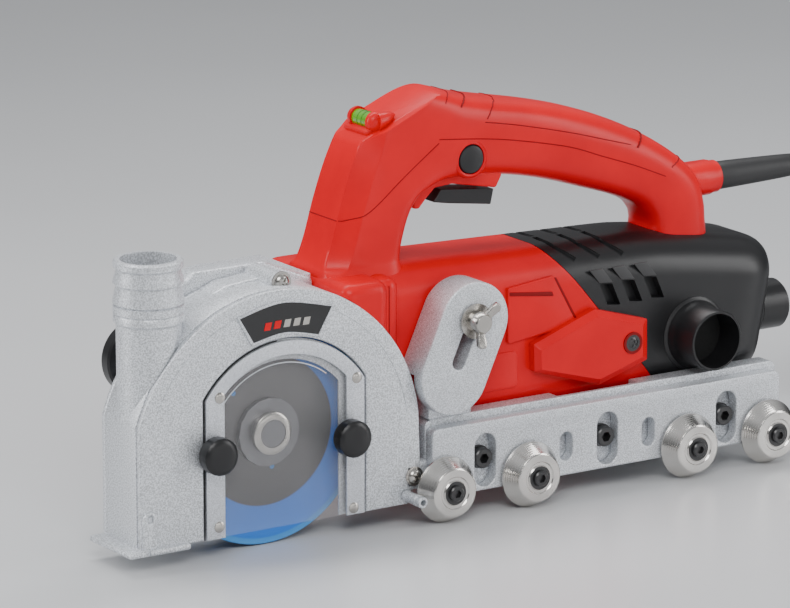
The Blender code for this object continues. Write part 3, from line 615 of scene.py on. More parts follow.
def cross_screw(name, x, z, face_y, radius, deep, look=NICKEL):
    """A domed screw head with a cross slot, on the near side, over a flat washer."""
    head = turned(name, [(0.0, -deep), (radius * 0.5, -deep * 0.92), (radius * 0.85, -deep * 0.6),
        (radius, -deep * 0.15), (radius, 0.0), (0.0, 0.0)], (x, face_y, z), "Y", look, 32)
    arms = []
    for k, turn in enumerate((0.5, 0.5 + math.pi / 2)):
        arm = block(f"{name}_arm_{k}", (-radius * 0.55, -0.001, -radius * 0.13),
            (radius * 0.55, 0.001, radius * 0.13), None, 0.0, 2, Matrix.Rotation(turn, 4, "Y"))
        arm.location = (x, face_y - deep, z)
        arms.append(arm)
    cut(head, *arms)
    washer = disc(name + "_washer", radius * 1.25, -0.0008, (x, face_y, z), "Y", look, 32)
    return gather(name, head, washer)


# ---------------------------------------------------------------- guard, window and blades
BLADE_X, BLADE_Z = -0.1475, 0.0669
GUARD_MIDDLE = (-0.146, 0.056)
GUARD_R = 0.0955
GUARD_FRONT = -0.054
COVER_BACK = -0.05
GUARD_BACK = -0.012
GUARD_BASE = 0.0125
WINDOW_MIDDLE = (-0.142, 0.058)
WINDOW_R = 0.0644
WINDOW_SIDES = (-0.1955, -0.088)
PORT = (-0.2185, -0.0335)
PORT_TOP = 0.175
CAP_X, CAP_Z = -0.211, 0.1115


def guard_shape(inset=0.0, base=GUARD_BASE):
    radius = GUARD_R - inset
    left = -0.2375 + inset
    right = -0.05 - inset
    high = 180.0 - math.degrees(math.acos((GUARD_MIDDLE[0] - left) / radius))
    low = math.degrees(math.asin((0.0674 - GUARD_MIDDLE[1]) / radius))
    return [(left, base)] + arc(GUARD_MIDDLE, radius, high, low, 72) + [(right, 0.035), (right - 0.009, base)]


def window_shape(grow=0.0, side=0.0):
    radius = WINDOW_R + grow
    left = WINDOW_SIDES[0] - grow - side
    right = WINDOW_SIDES[1] + grow + side
    high = 180.0 - math.degrees(math.acos(min(1.0, (WINDOW_MIDDLE[0] - left) / radius)))
    low = math.degrees(math.acos(min(1.0, (right - WINDOW_MIDDLE[0]) / radius)))
    return [(left, GUARD_BASE)] + arc(WINDOW_MIDDLE, radius, high, low, 48) + [(right, GUARD_BASE)]


def make_guard():
    rim = slab("rim", [guard_shape() + guard_shape(0.0035)[::-1]], -0.0497, -0.0155, CAST, 0.0003, 1)
    wall = slab("wall", [guard_shape(), arc((BLADE_X, BLADE_Z), 0.0215, 0, 350, 35)], -0.016, GUARD_BACK,
        CAST, 0.0012)
    port = turned("port", mm([(16, 0), (18.5, 0), (19.7, -1), (19.7, -4.2), (18.2, -5.4), (18.2, -6.4),
        (20, -12.4), (20, -13.4), (18.4, -14.4), (18.4, -15.6), (20.2, -23.6), (20.2, -24.6), (19, -25.4),
        (20, -26.2), (20.2, -30), (19.4, -30.8), (20, -31.6), (20, -35.2), (18.5, -36.6), (18.5, -95),
        (16, -95)]), (*PORT, PORT_TOP), "Z", CAST, 72)
    foot = loft("port_foot", [[(PORT[0] + math.cos(t) * rx + shift, PORT[1] + math.sin(t) * ry, z)
        for t in turns(40)] for z, rx, ry, shift in ((0.137, 0.018, 0.018, 0.0), (0.125, 0.0184, 0.0184, 0.0),
        (0.105, 0.019, 0.0188, 0.0005), (0.088, 0.019, 0.0195, 0.001), (0.064, 0.0185, 0.017, 0.002),
        (0.04, 0.0175, 0.015, 0.0035))], CAST)
    # The bore cutter is given the painted recess shade.
    cut(foot, disc("foot_bore", 0.016, -0.07, (*PORT, 0.14), "Z", PAINTED_RECESS_SHADE, 40))
    web = slab("port_web", [rounded(mm([(-206, 98), (-206, 129), (-196, 133), (-180, 141), (-164, 148),
        (-156, 140)]), 0.004)], -0.0455, -0.019, CAST, 0.002)
    shoe = block("shoe", (-0.2463, -0.0578, 0.0101), (-0.2062, -0.0113, 0.0139), CAST, 0.0016, 3)
    cut(shoe, slab("shoe_notch", [slot_shape((-0.235, -0.01), (-0.235, 0.03), 0.0022)], -0.059, -0.056, None,
        0.0))
    ear = slab("shoe_ear", [slot_shape((-0.2318, 0.015), (-0.2318, 0.0305), 0.0046),
        arc((-0.2318, 0.0308), 0.0022, 0, 345, 23)], -0.0556, -0.053, CAST, 0.0008)
    boss = turned("boss", mm([(0, 0), (6, 0), (6.8, 1), (6.8, 28), (0, 28)]), (-0.138, -0.043, 0.1512), "Y",
        CAST, 40)
    cheek = slab("boss_cheek", [rounded(mm([(-177.5, 133), (-175, 147), (-165, 151.2), (-135, 154),
        (-127, 146), (-131, 135)]), 0.004)], -0.03, -0.0125, CAST, 0.002)
    tab = slab("rear_tab", [rounded(mm([(-188, 124), (-186, 150), (-176, 156.8), (-129, 156.8),
        (-96.8, 143.6), (-96.8, 130)]), 0.005)], -0.0125, 0.002, CAST, 0.002)
    lug = block("screw_lug", (-0.062, -0.054, 0.02), (-0.044, -0.044, 0.037), CAST, 0.003, 4)
    whole = gather("guard_casting", rim, wall, port, foot, web, shoe, ear, boss, cheek, tab, lug)
    piece(whole, "chaser", ("guard_body",))

    trimmed = slab("guard_front", [guard_shape(0.0003) + window_shape(0.0004)[::-1]], GUARD_FRONT, COVER_BACK,
        CAST, 0.001, 3)
    relief = disc("port_relief", 0.0196, -0.06, (*PORT, 0.15), "Z", None, 48)
    cut(trimmed, relief)
    inner = [(x - 0.0012, z) for x, z in window_shape(-0.0125, -0.0025)]
    lip = slab("window_lip", [window_shape(-0.0004) + inner[::-1]], -0.0508, -0.0497, PLATE_METAL, 0.0002, 1)
    step = guard_shape(0.0085)[1:-2]
    line = pipe_mesh("edge_line", [(x, GUARD_FRONT - 0.00005, z) for x, z in step], 0.00028, PLATE_METAL, 6)
    # A near-black line of painted shade in the gap along the window's edge.
    gap_shade = pipe_mesh("window_gap", [(x, -0.0531, z) for x, z in window_shape(-0.0005)[:24]], 0.00038,
        PAINTED_RECESS_SHADE, 6)
    piece(gather("guard_cover_plate", trimmed, lip, line, gap_shade), "chaser", ("guard_cover",))

    top = smooth_line([(*hub(-24.5, 72.1), 0), (*hub(4.0, 77.6), 0), (*hub(36.4, 71.3), 0)], 20)
    low = smooth_line([(*hub(27.6, 56.2), 0), (*hub(5.5, 60.4), 0), (*hub(-15.4, 57.0), 0)], 20)
    outline = [(p[0], p[1]) for p in top + low]
    middle = hub(5.5, 67.0)
    grown = [(middle[0] + (x - middle[0]) * 1.065, middle[1] + (z - middle[1]) * 1.17) for x, z in outline]
    rim_part = slab("badge_rim", [rounded(grown, 0.0004, 2), outline[::-1]], -0.0551, -0.0538, PLATE_METAL,
        0.0004, 2)
    face = slab("badge_face", [outline], -0.0545, -0.0538, BADGE, 0.0001, 1)
    marks = []
    for number in range(5):
        x, z = hub(-6.0 + 6.4 * number, 65.4 - 0.1 * (number - 2) ** 2)
        shape = [(x - 0.0026, z - 0.002), (x + 0.0016, z - 0.002), (x + 0.0028, z + 0.0024),
            (x - 0.0014, z + 0.0024)]
        marks.append(slab(f"badge_bar_{number}", [shape], -0.05475, -0.0544, RED if number < 2 else NICKEL,
            0.00005, 1))
    piece(gather("badge", rim_part, face, *marks), "chaser", (), 20.0)

    pane = slab("window_sheet", [window_shape(-0.0003)], -0.0532, -0.0512, PANE, 0.0004, 2)
    piece(pane, "chaser", ("window_pane",))
    details = []
    for number, (x, z) in enumerate(mm([(-185.5, 94.5), (-94.4, 93.2), (-186.5, 19.4), (-96.7, 16.5)])):
        details.append(turned(f"rivet_{number}", mm([(0, -1.2), (2, -1.1), (3.2, -0.6), (3.3, 0), (0, 0)]),
            (x, -0.0546, z), "Y", NICKEL, 24))
    sweep = arc((-0.144, 0.06), 0.0486, 148.0, 52.0, 28)
    details.append(pipe_mesh("turn_arrow", [(x, -0.05322, z) for x, z in sweep], 0.00035, SMOOTH_METAL, 6))
    piece(gather("window_rivets", *details), "chaser")
    frame_bar = slab("window_frame", [window_shape(-0.0011) + window_shape(-0.0092, -0.004)[::-1]], -0.0548,
        -0.0534, SMOOTH_METAL, 0.0003, 2)
    piece(frame_bar, "chaser", ("window_strip_left", "window_strip_right"))
    for side, x, z in (("left", -0.1905, 0.063), ("right", -0.1015, 0.06)):
        knob = turned(f"knob_{side}", mm([(0, -11.2), (7, -11.1), (9.6, -10.4), (10.8, -9.2), (10.9, -3),
            (10, -1.2), (8.5, -0.4), (0, -0.4)]), (x, -0.0555, z), "Y", BLACK, 60)
        bake(knob)
        for vert in knob.data.vertices:
            reach = math.hypot(vert.co.x - x, vert.co.z - z)
            if reach > 0.0104:
                turn = math.atan2(vert.co.z - z, vert.co.x - x)
                shrink = 1.0 - 0.018 * (0.5 + 0.5 * math.cos(20 * turn))
                vert.co.x = x + (vert.co.x - x) * shrink
                vert.co.z = z + (vert.co.z - z) * shrink
        piece(knob, f"{side}_knob", (f"window_knob_{side}",))
    nozzle = turned("nozzle", mm([(1.8, 0), (2.8, 0), (3.3, 0.6), (3.3, 3), (2.8, 3.6), (2.8, 4.8),
        (3.3, 5.4), (3.3, 18), (1.8, 18)]), (-0.0606, -0.0726, 0.0179), "Y", CAST, 36)
    piece(bake(nozzle), "chaser", ("water_nozzle",))
    screws = gather("guard_screws", cross_screw("top_screw", -0.1375, 0.1526, -0.043, 0.005, 0.003),
        cross_screw("low_screw", *hub(92.6, -37.3), -0.054, 0.0046, 0.003))
    piece(screws, "chaser")
    cap = turned("ring_cap", mm([(15, 0), (20.5, 0), (21.5, 1.2), (21.5, 7.5), (20.5, 8.5), (15, 8.5)]),
        (CAP_X, -0.0118, CAP_Z), "Y", BLACK, 48)
    spokes = [block(f"spoke_{k}", (-0.018, 0.001, -0.003), (0.018, 0.006, 0.003), BLACK, 0.0008, 2,
        Matrix.Rotation(math.radians(60.0 * k), 4, "Y")) for k in range(3)]
    for spoke in spokes:
        spoke.location = (CAP_X, -0.011, CAP_Z)
    piece(gather("ring_cap_wheel", cap, *spokes), "chaser")


def make_blades():
    for number in range(1, 5):
        low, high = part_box(f"blade_{number}")
        half = (high.y - low.y) / 2.0
        blade = turned(f"disc_{number}", [(0.0112, -half), (0.043, -half), (0.0436, -half * 0.82),
            (0.06, -half * 0.82), (0.0606, -half), (0.066, -half), (BLADE_R, -half * 0.5),
            (BLADE_R, half * 0.5), (0.066, half), (0.0606, half), (0.06, half * 0.82), (0.0436, half * 0.82),
            (0.043, half), (0.0112, half)], (BLADE_X, (low.y + high.y) / 2.0, BLADE_Z), "Y", BLADE, 96)
        piece(blade, "spindle_set", (f"blade_{number}",))
    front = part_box("blade_1")[0].y
    dots = [turned(f"blade_dot_{k}", mm([(0, -0.1), (1.5, -0.1), (1.5, 0.2), (0, 0.2)]), (x, front, z), "Y",
        BLUE, 20) for k, (x, z) in enumerate(((-0.1689, 0.0918), (-0.1436, 0.0454)))]
    piece(gather("blade_dots", *dots), "spindle_set")
    low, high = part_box("spindle_nut")
    ring = turned("hub_ring", [(0.0083, 0.0), (0.0116, 0.0), (0.0124, 0.0006), (0.0124, high.y - low.y),
        (0.0083, high.y - low.y)], (BLADE_X, low.y, BLADE_Z), "Y", NICKEL, 48)
    core = turned("hub_core", [(0.0, 0.0014), (0.004, 0.0014), (0.004, 0.0009), (0.0081, 0.0009),
        (0.0081, high.y - low.y), (0.0, high.y - low.y)], (BLADE_X, low.y, BLADE_Z), "Y", DARK_STEEL, 36)
    piece(gather("hub_nut", ring, core), "spindle_set", ("spindle_nut",))


# ---------------------------------------------------------------- motor
BODY_Y = 0.037
BODY_LOW = 0.042
BODY_TOP = 0.148
BODY_FRONT, BODY_LENGTH = -0.075, 0.292
LOUVRE_PITCH, VENT_PITCH = 0.0172, 0.016
PIPE_X, PIPE_Z = 0.1565, 0.0805
COVER_SCREW_X, COVER_SCREW_Z = 0.1052, 0.0836


def seam_x(z):
    """The slanted joint between the red and the black housing."""
    return 0.05 + (BODY_TOP - z) * 0.8491


def body_top(x):
    """Height of the body's top. It falls a little all along, and more towards the rear."""
    return BODY_TOP - 0.008 * (x - BODY_FRONT) / BODY_LENGTH - 0.0095 * (max(0.0, x - 0.125) / 0.09) ** 1.2


def body_ring(place, inset=0.0, count=14):
    """Points round the motor body. place gives x for a height."""
    made = []
    round_r = 0.025 - inset
    half = BODY_Y - inset
    for pass_number, (sy, sz) in enumerate(((1, 1), (-1, 1), (-1, -1), (1, -1))):
        for k in range(count + 1):
            turn = math.radians(90.0 * pass_number + 90.0 * k / count)
            x = place(0.1)
            for _ in range(4):
                top = body_top(x) - inset
                middle = top - round_r if sz > 0 else BODY_LOW + inset + round_r
                z = middle + round_r * math.sin(turn)
                x = place(z)
            made.append((x, sy * (half - round_r) + round_r * math.cos(turn), z))
    return made


def body_skin(name, start, end, look, rows=14, rim=0.0, taper=0.0):
    """A shell between two slanting ends. rim and taper: depth and length of the far end's rounding."""
    def between(t, shift):
        return lambda z: start(z) + (end(z) - taper - start(z)) * t + shift

    rings = []
    for k in range(rows + 1):
        rings.append(body_ring(between(k / rows, 0.0)))
    for k in range(1, 8 if taper else 0):
        a = math.radians(90.0 * k / 7)
        rings.append(body_ring(between(1.0, taper * math.sin(a)), rim * (1.0 - math.cos(a))))
    return loft(name, rings, look)


def make_motor():
    front = body_skin("front_skin", lambda z: BODY_FRONT, lambda z: seam_x(z) - 0.00025, RED)
    flange = block("front_flange", (-0.097, -0.0468, 0.0542), (-0.0655, 0.0438, 0.1449), RED, 0.0075, 5)
    collar = block("front_collar", (-0.07, -0.042, 0.05), (-0.056, 0.04, 0.144), RED, 0.006, 4)
    clear = slab("guard_clear", [guard_shape(-0.0006, -0.01)], -0.06, -0.011, None, 0.0)
    unite(front, flange, collar)
    cut(front, clear)
    panel = slab("front_panel", [rounded(mm([(20.5, 126.6), (53.5, 130), (70.5, 98.5), (20.5, 92.8)]),
        0.002)], -0.0389, -0.036, RED, 0.0009, 2)
    bar = slab("panel_bar", [rounded(mm([(21.5, 124.1), (51.5, 120.6), (52.8, 117.8), (21.5, 121.9)]), 0.0005,
        2)], -0.0393, -0.0386, RED_LINE, 0.0002, 1)
    side_line = slab("panel_side", [mm([(52.8, 129), (54.4, 128.8), (71.2, 98.8), (69.5, 99)])], -0.0391,
        -0.0386, RED_LINE, 0.0001, 1)
    lower = slab("lower_panel", [rounded(mm([(-10, 88), (28, 88), (28, 66), (-10, 66)]), 0.003)], -0.0379,
        -0.036, RED, 0.0005, 2)
    tree = surface_of(front)
    edge = joint_line("flange_line", tree, mm([(-64, 140), (-64, 60)]), RED_LINE, 0.0003)
    piece(gather("front_housing", front, panel, bar, side_line, lower, edge), "chaser",
        ("motor_housing",))

    def rear_x(z):
        return 0.224 - 0.019 * (0.14 - z) / 0.098

    rear = body_skin("rear_skin", lambda z: seam_x(z) + 0.00025, rear_x, BLACK, 14, 0.0085, 0.022)
    # The louvre and vent cutters are given the painted recess shade.
    cutters = []
    for number in range(3):
        x = 0.0647 + LOUVRE_PITCH * number
        top = body_top(x)
        for side in (-1, 1):
            route = [(x, side * 0.001, top - 0.0004), (x - 0.001, side * 0.012, top - 0.0004),
                (x + 0.0004, side * 0.0225, top - 0.0026), (x + 0.0085, side * 0.031, top - 0.0088)]
            cutters.append(pipe_mesh(f"louvre_{number}_{side}", smooth_line(route, 14), 0.0021, PAINTED_RECESS_SHADE,
                8))
    ramps = []
    for number in range(3):
        x = 0.0866 + VENT_PITCH * number
        ramp = [(x - 0.007, 0.129), (x + 0.0025, 0.129), (x + 0.0097, 0.12), (x, 0.1208)]
        ramps.append(slab(f"ramp_{number}", [ramp], -0.0374, -0.0362, BLACK_RAMP, 0.0003, 1))
        for side in (-1, 1):
            shape = rounded([(x, 0.1204), (x + 0.0095, 0.1192), (x + 0.0157, 0.1055), (x + 0.0062, 0.1067)],
                0.0005, 2)
            spread = (-0.045, -0.031) if side < 0 else (0.031, 0.045)
            cutters.append(slab(f"vent_{number}_{side}", [shape], *spread, PAINTED_RECESS_SHADE, 0.0))
    cut(rear, *cutters)
    boss = turned("rear_boss", mm([(0, 0), (17.5, 0), (17.5, 23), (16, 25), (15.2, 26), (15.2, 44),
        (13.6, 45.8), (11, 46.3), (10, 45), (0, 45)]), (0.2, 0.0, 0.08), "X", BLACK, 48)
    socket = turned("pipe_socket", mm([(0, 0), (22.5, 0), (22.5, -1.2), (20.8, -2.2), (0, -2.2)]),
        (PIPE_X, -0.0362, PIPE_Z), "Y", BLACK, 56)
    piece(gather("rear_housing_shell", rear, boss, socket, *ramps), "chaser",
        ("rear_housing",))

    pipe = turned("pipe", mm([(16.6, 0), (17.7, 0), (18.3, 0.8), (18.3, 16), (19.6, 19), (20.5, 21.2),
        (16.6, 21.2)]), (PIPE_X, -0.06, PIPE_Z), "Y", BLACK, 64)
    # A near-black disc of painted shade deep inside the exhaust pipe.
    pipe_shade_disc = disc("pipe_floor_shade", 0.0166, 0.0015, (PIPE_X, -0.0403, PIPE_Z), "Y", PAINTED_RECESS_SHADE, 40)
    piece(gather("exhaust", pipe, pipe_shade_disc), "chaser", ("exhaust_pipe",))

    shape = mm([(36.7, 91.5), (80, 106.8), (117.9, 95.8), (118.2, 70.9), (83.7, 60.3), (37.2, 74.9)])
    zone = mm([(39.6, 88), (80.2, 103), (112.8, 93.5), (112.6, 73.8), (82, 64.6), (40.1, 76.5)])
    outer, inside = rounded(shape, 0.001, 3), rounded(zone, 0.0008, 3)
    cover = loft("hex_cover", [[(x, y, z) for x, z in ring] for y, ring in ((-0.0373, outer),
        (-0.0418, outer), (-0.0422, outer), (-0.0454, inside), (-0.0456, inside))], RED)
    ring = turned("screw_ring", mm([(5, 0), (6.6, 0), (6.6, -0.8), (5, -0.8)]),
        (COVER_SCREW_X, -0.0455, COVER_SCREW_Z), "Y", RED_LINE, 32)
    screw = cross_screw("cover_screw", COVER_SCREW_X, COVER_SCREW_Z, -0.0454, 0.004, 0.0014, BLACK_OXIDE)
    piece(gather("hex_cover_shell", cover, ring, screw), "chaser", ("brush_cover",))


# ---------------------------------------------------------------- handle
SECTIONS = [  # outer x, z; inner x, z; half width; squareness; length of the outer chamfer
    (-0.0955, 0.14, -0.04, 0.14, 0.029, 5.0, 0.006),
    (-0.0935, 0.1456, -0.0405, 0.1462, 0.0252, 6.0, 0.009),
    (-0.0908, 0.15, -0.0415, 0.15, 0.0236, 7.0, 0.0115),
    (-0.0862, 0.162, -0.0397, 0.16, 0.0232, 7.0, 0.012),
    (-0.08, 0.183, -0.0347, 0.1745, 0.023, 7.0, 0.012),
    (-0.0722, 0.205, -0.028, 0.1835, 0.0226, 7.0, 0.012),
    (-0.063, 0.223, -0.0185, 0.188, 0.0222, 6.5, 0.011),
    (-0.052, 0.237, -0.01, 0.19, 0.022, 5.5, 0.006),
    (-0.033, 0.2455, -0.002, 0.1903, 0.0218, 5.0, 0.0),
    (-0.013, 0.244, 0.006, 0.19, 0.0214, 4.2, 0.0),
    (0.006, 0.2388, 0.015, 0.1893, 0.0208, 3.4, 0.0),
    (0.027, 0.2345, 0.027, 0.188, 0.0204, 3.0, 0.0),
    (0.056, 0.2288, 0.048, 0.1846, 0.02, 3.0, 0.0),
    (0.084, 0.2217, 0.071, 0.179, 0.0198, 2.8, 0.0),
    (0.113, 0.2115, 0.096, 0.1712, 0.0196, 2.8, 0.0),
    (0.14, 0.1985, 0.118, 0.164, 0.0196, 3.0, 0.0),
    (0.163, 0.1835, 0.133, 0.157, 0.0196, 3.2, 0.0),
    (0.1755, 0.17, 0.14, 0.15, 0.0196, 3.6, 0.0),
    (0.1798, 0.156, 0.1425, 0.145, 0.0198, 4.0, 0.0),
    (0.181, 0.145, 0.1425, 0.14, 0.02, 4.0, 0.0),
    (0.1825, 0.127, 0.1405, 0.127, 0.0205, 4.0, 0.0)]


GRIP_LOW = 0.165
FACET_LEAN = math.atan2(0.0237, 0.0538)
BUTTON = (0.0064, 0.2019)
VIAL_PLACE = (-0.0531, 0.229)


def section_point(section, turn, grow=0.0):
    """A point of the handle's skin. turn, in degrees from the outer side, is below 0 on the near side."""
    ox, oz, ix, iz, half, square, chamfer = section
    middle = Vector(((ox + ix) / 2.0, 0.0, (oz + iz) / 2.0))
    reach = Vector((ox, 0.0, oz)) - middle
    c, s = math.cos(math.radians(turn)), math.sin(math.radians(turn))
    along = math.copysign(abs(c) ** (2.0 / square), c)
    across = math.copysign(abs(s) ** (2.0 / square), s)
    if chamfer > 0.0001:
        deep = (1.0 - along) * reach.length / chamfer
        wide = (1.0 - abs(across)) * half / (chamfer * 0.7)
        if 1e-6 < deep + wide < 1.0:
            along = 1.0 - deep / (deep + wide) * chamfer / reach.length
            across = math.copysign(1.0 - wide / (deep + wide) * chamfer * 0.7 / half, across)
    sideways = Vector((0.0, (half + grow) * across, 0.0))
    return middle + reach.normalized() * (reach.length + grow) * along + sideways


def handle_ring(section, count=56):
    return [section_point(section, 360.0 * k / count) for k in range(count)]


def handle_sections(fine=5):
    return smooth_line(SECTIONS, (len(SECTIONS) - 1) * fine)


def groove(name, sections, top_x, lean, start, end, radius):
    """A dark joint over the top of the grip. It leans forwards as it comes down the near side."""
    grip = [s for s in sections if s[1] > GRIP_LOW]
    points = []
    for k in range(25):
        turn = start + (end - start) * k / 24
        wanted = top_x - lean * (max(0.0, -turn) / -end) ** 1.4
        points.append(section_point(min(grip, key=lambda s: abs(s[0] - wanted)), turn, 0.00005))
    return pipe_mesh(name, points, radius, RED_LINE, 6)


def make_handle():
    sections = handle_sections()
    shell = loft("handle_skin", [handle_ring(s) for s in sections], RED)
    sleeve = turned("cord_sleeve", mm([(0, 0), (10.8, 0), (10.8, 20), (9.8, 23.6), (9.8, 26.2), (0, 26.2)]),
        (0.1705, 0.0, 0.165), "X", RED, 40)
    unite(shell, sleeve)
    facet = block("facet", (-0.05, -0.04, 0.0), (0.04, 0.04, 0.03), RED, 0.0, 2)
    facet.data.transform(Matrix.Rotation(-FACET_LEAN, 4, "Y"))
    facet.location = (-0.03, 0.0, 0.235)
    cut(shell, facet)
    hole = disc("sleeve_hole", 0.0088, 0.01, (0.1935, 0.0, 0.165), "X", RED, 40)
    # The button hole cutter is given the painted recess shade.
    button_hole = disc("button_hole", 0.009, 0.02, (BUTTON[0], -0.03, BUTTON[1]), "Y", PAINTED_RECESS_SHADE, 40)
    cut(shell, hole, button_hole)
    tree = surface_of(shell)
    shroud = slab("trigger_shroud", [rounded(mm([(-30, 190), (-27.6, 174.8), (-24, 174.6), (-18.9, 180.2),
        (-13, 185.7), (-1.1, 186.6), (29.8, 180.6), (33.5, 187.1), (35, 196), (-20, 199)]), 0.0016)], -0.0125,
        0.0125, RED, 0.0012, 3)
    low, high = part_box("trigger")
    # The trigger slot cutter is given the painted recess shade.
    cut(shroud, block("trigger_slot", (-0.0175, low.y - 0.0006, 0.165), (0.032, high.y + 0.0006, 0.1925),
        PAINTED_RECESS_SHADE))
    parts = [shell, shroud]
    fine = handle_sections(40)
    for number, values in enumerate(((-0.0027, 0.011, 10.0, -60.0, 0.00028),
            (0.0101, 0.012, 8.0, -60.0, 0.00055), (0.0311, 0.0135, 14.0, -71.0, 0.00034),
            (0.1355, 0.004, 10.0, -68.0, 0.00065), (0.164, 0.005, 14.0, -72.0, 0.00034))):
        parts.append(groove(f"groove_{number}", fine, *values))
    inlay = mm([(16.6, 222.5), (41.5, 217.7), (77.1, 209.2), (101.1, 202.4), (121.7, 196.5)])
    lower = mm([(-16.3, 216.4), (15.1, 212.9), (40.8, 208.7), (76.4, 200.7), (100.5, 192.2), (124.7, 183.6),
        (146.8, 174.4)])
    column = mm([(-81.5, 175.2), (-77.1, 175.8), (-63.5, 180.6), (-40.7, 197.4), (-16.6, 214.2)])
    for side in (-1.0, 1.0):
        for name, points in (("inlay", inlay), ("lower", lower), ("column", column)):
            parts.append(joint_line(f"{name}_line_{side:.0f}", tree, points, RED_LINE, 0.0003, 36, side))
    across = [tree.ray_cast(Vector((-0.2, 0.0146 * k / 6.0, 0.1752)), Vector((1.0, 0.0, 0.0)))[0]
        for k in range(-6, 7)]
    parts.append(pipe_mesh("front_line", [point for point in across if point], 0.0003, RED_LINE, 6))
    parts.append(turned("button_rim", mm([(9, 0), (11.5, 0), (11.1, -1.4), (9.9, -2), (9, -1.6)]),
        (BUTTON[0], -0.0192, BUTTON[1]), "Y", RED, 48))
    handle = gather("handle_shell", *parts)
    piece(handle, "chaser", ("handle_near", "handle_far"), 50.0)

    button = turned("button", mm([(0, -0.8), (6, -0.7), (8, -0.2), (8.6, 0.8), (8.6, 5), (0, 5)]),
        (BUTTON[0], -0.0212, BUTTON[1]), "Y", BLACK, 48)
    piece(bake(button), "lock_button", ("lock_button",))

    seat = block("vial_seat", (-0.008, -0.0118, -0.003), (0.008, 0.0118, 0.0022), RED, 0.0012, 3,
        Matrix.Rotation(-FACET_LEAN, 4, "Y"))
    seat.location = (VIAL_PLACE[0] + 0.0005, 0.0, VIAL_PLACE[1] - 0.0035)
    vial = turned("vial_tube", mm([(0, -11), (5, -11), (5, 8), (0, 8)]), (VIAL_PLACE[0], 0.0, VIAL_PLACE[1]),
        "Y", VIAL, 40)
    lumps = [turned(f"vial_end_{side}", [(0.0, side * 0.0128), (0.0034, side * 0.0125),
        (0.0054, side * 0.0112), (0.0062, side * 0.0092), (0.0062, side * 0.0072), (0.0, side * 0.0072)],
        (VIAL_PLACE[0], shift, VIAL_PLACE[1]), "Y", RED, 40) for side, shift in ((-1, -0.0018), (1, 0.0))]
    nose = loft("vial_nose", [[(VIAL_PLACE[0] + dx, -0.0115 + r * math.cos(t),
        VIAL_PLACE[1] + dz + r * math.sin(t)) for t in turns(24)] for dx, dz, r in ((0.0, 0.0, 0.0056),
        (0.005, 0.001, 0.0048), (0.009, 0.0022, 0.0034), (0.012, 0.003, 0.0012))], RED)
    rings = [turned(f"vial_ring_{k}", mm([(5, -0.2), (5.2, -0.2), (5.2, 0.2), (5, 0.2)]),
        (VIAL_PLACE[0], y, VIAL_PLACE[1]), "Y", GREEN_LINE, 40) for k, y in enumerate((-0.003, 0.0014))]
    piece(gather("level", seat, vial, nose, *lumps, *rings), "chaser", ("spirit_level",))


# ---------------------------------------------------------------- base
ROLLER_R = 0.0195
RAIL_FACE, PIN_FACE = 0.0497, 0.0702
CLAMP_Z = 0.0325
SLOT_MIDDLE_X = 0.079
SLOT_PITCH = 0.0868
ROLLER_PLACES = (-0.116, -0.057, 0.057, 0.116)


def box_shape(x, z, radius):
    return rounded([(x[0], z[0]), (x[1], z[0]), (x[1], z[1]), (x[0], z[1])], radius, 6)


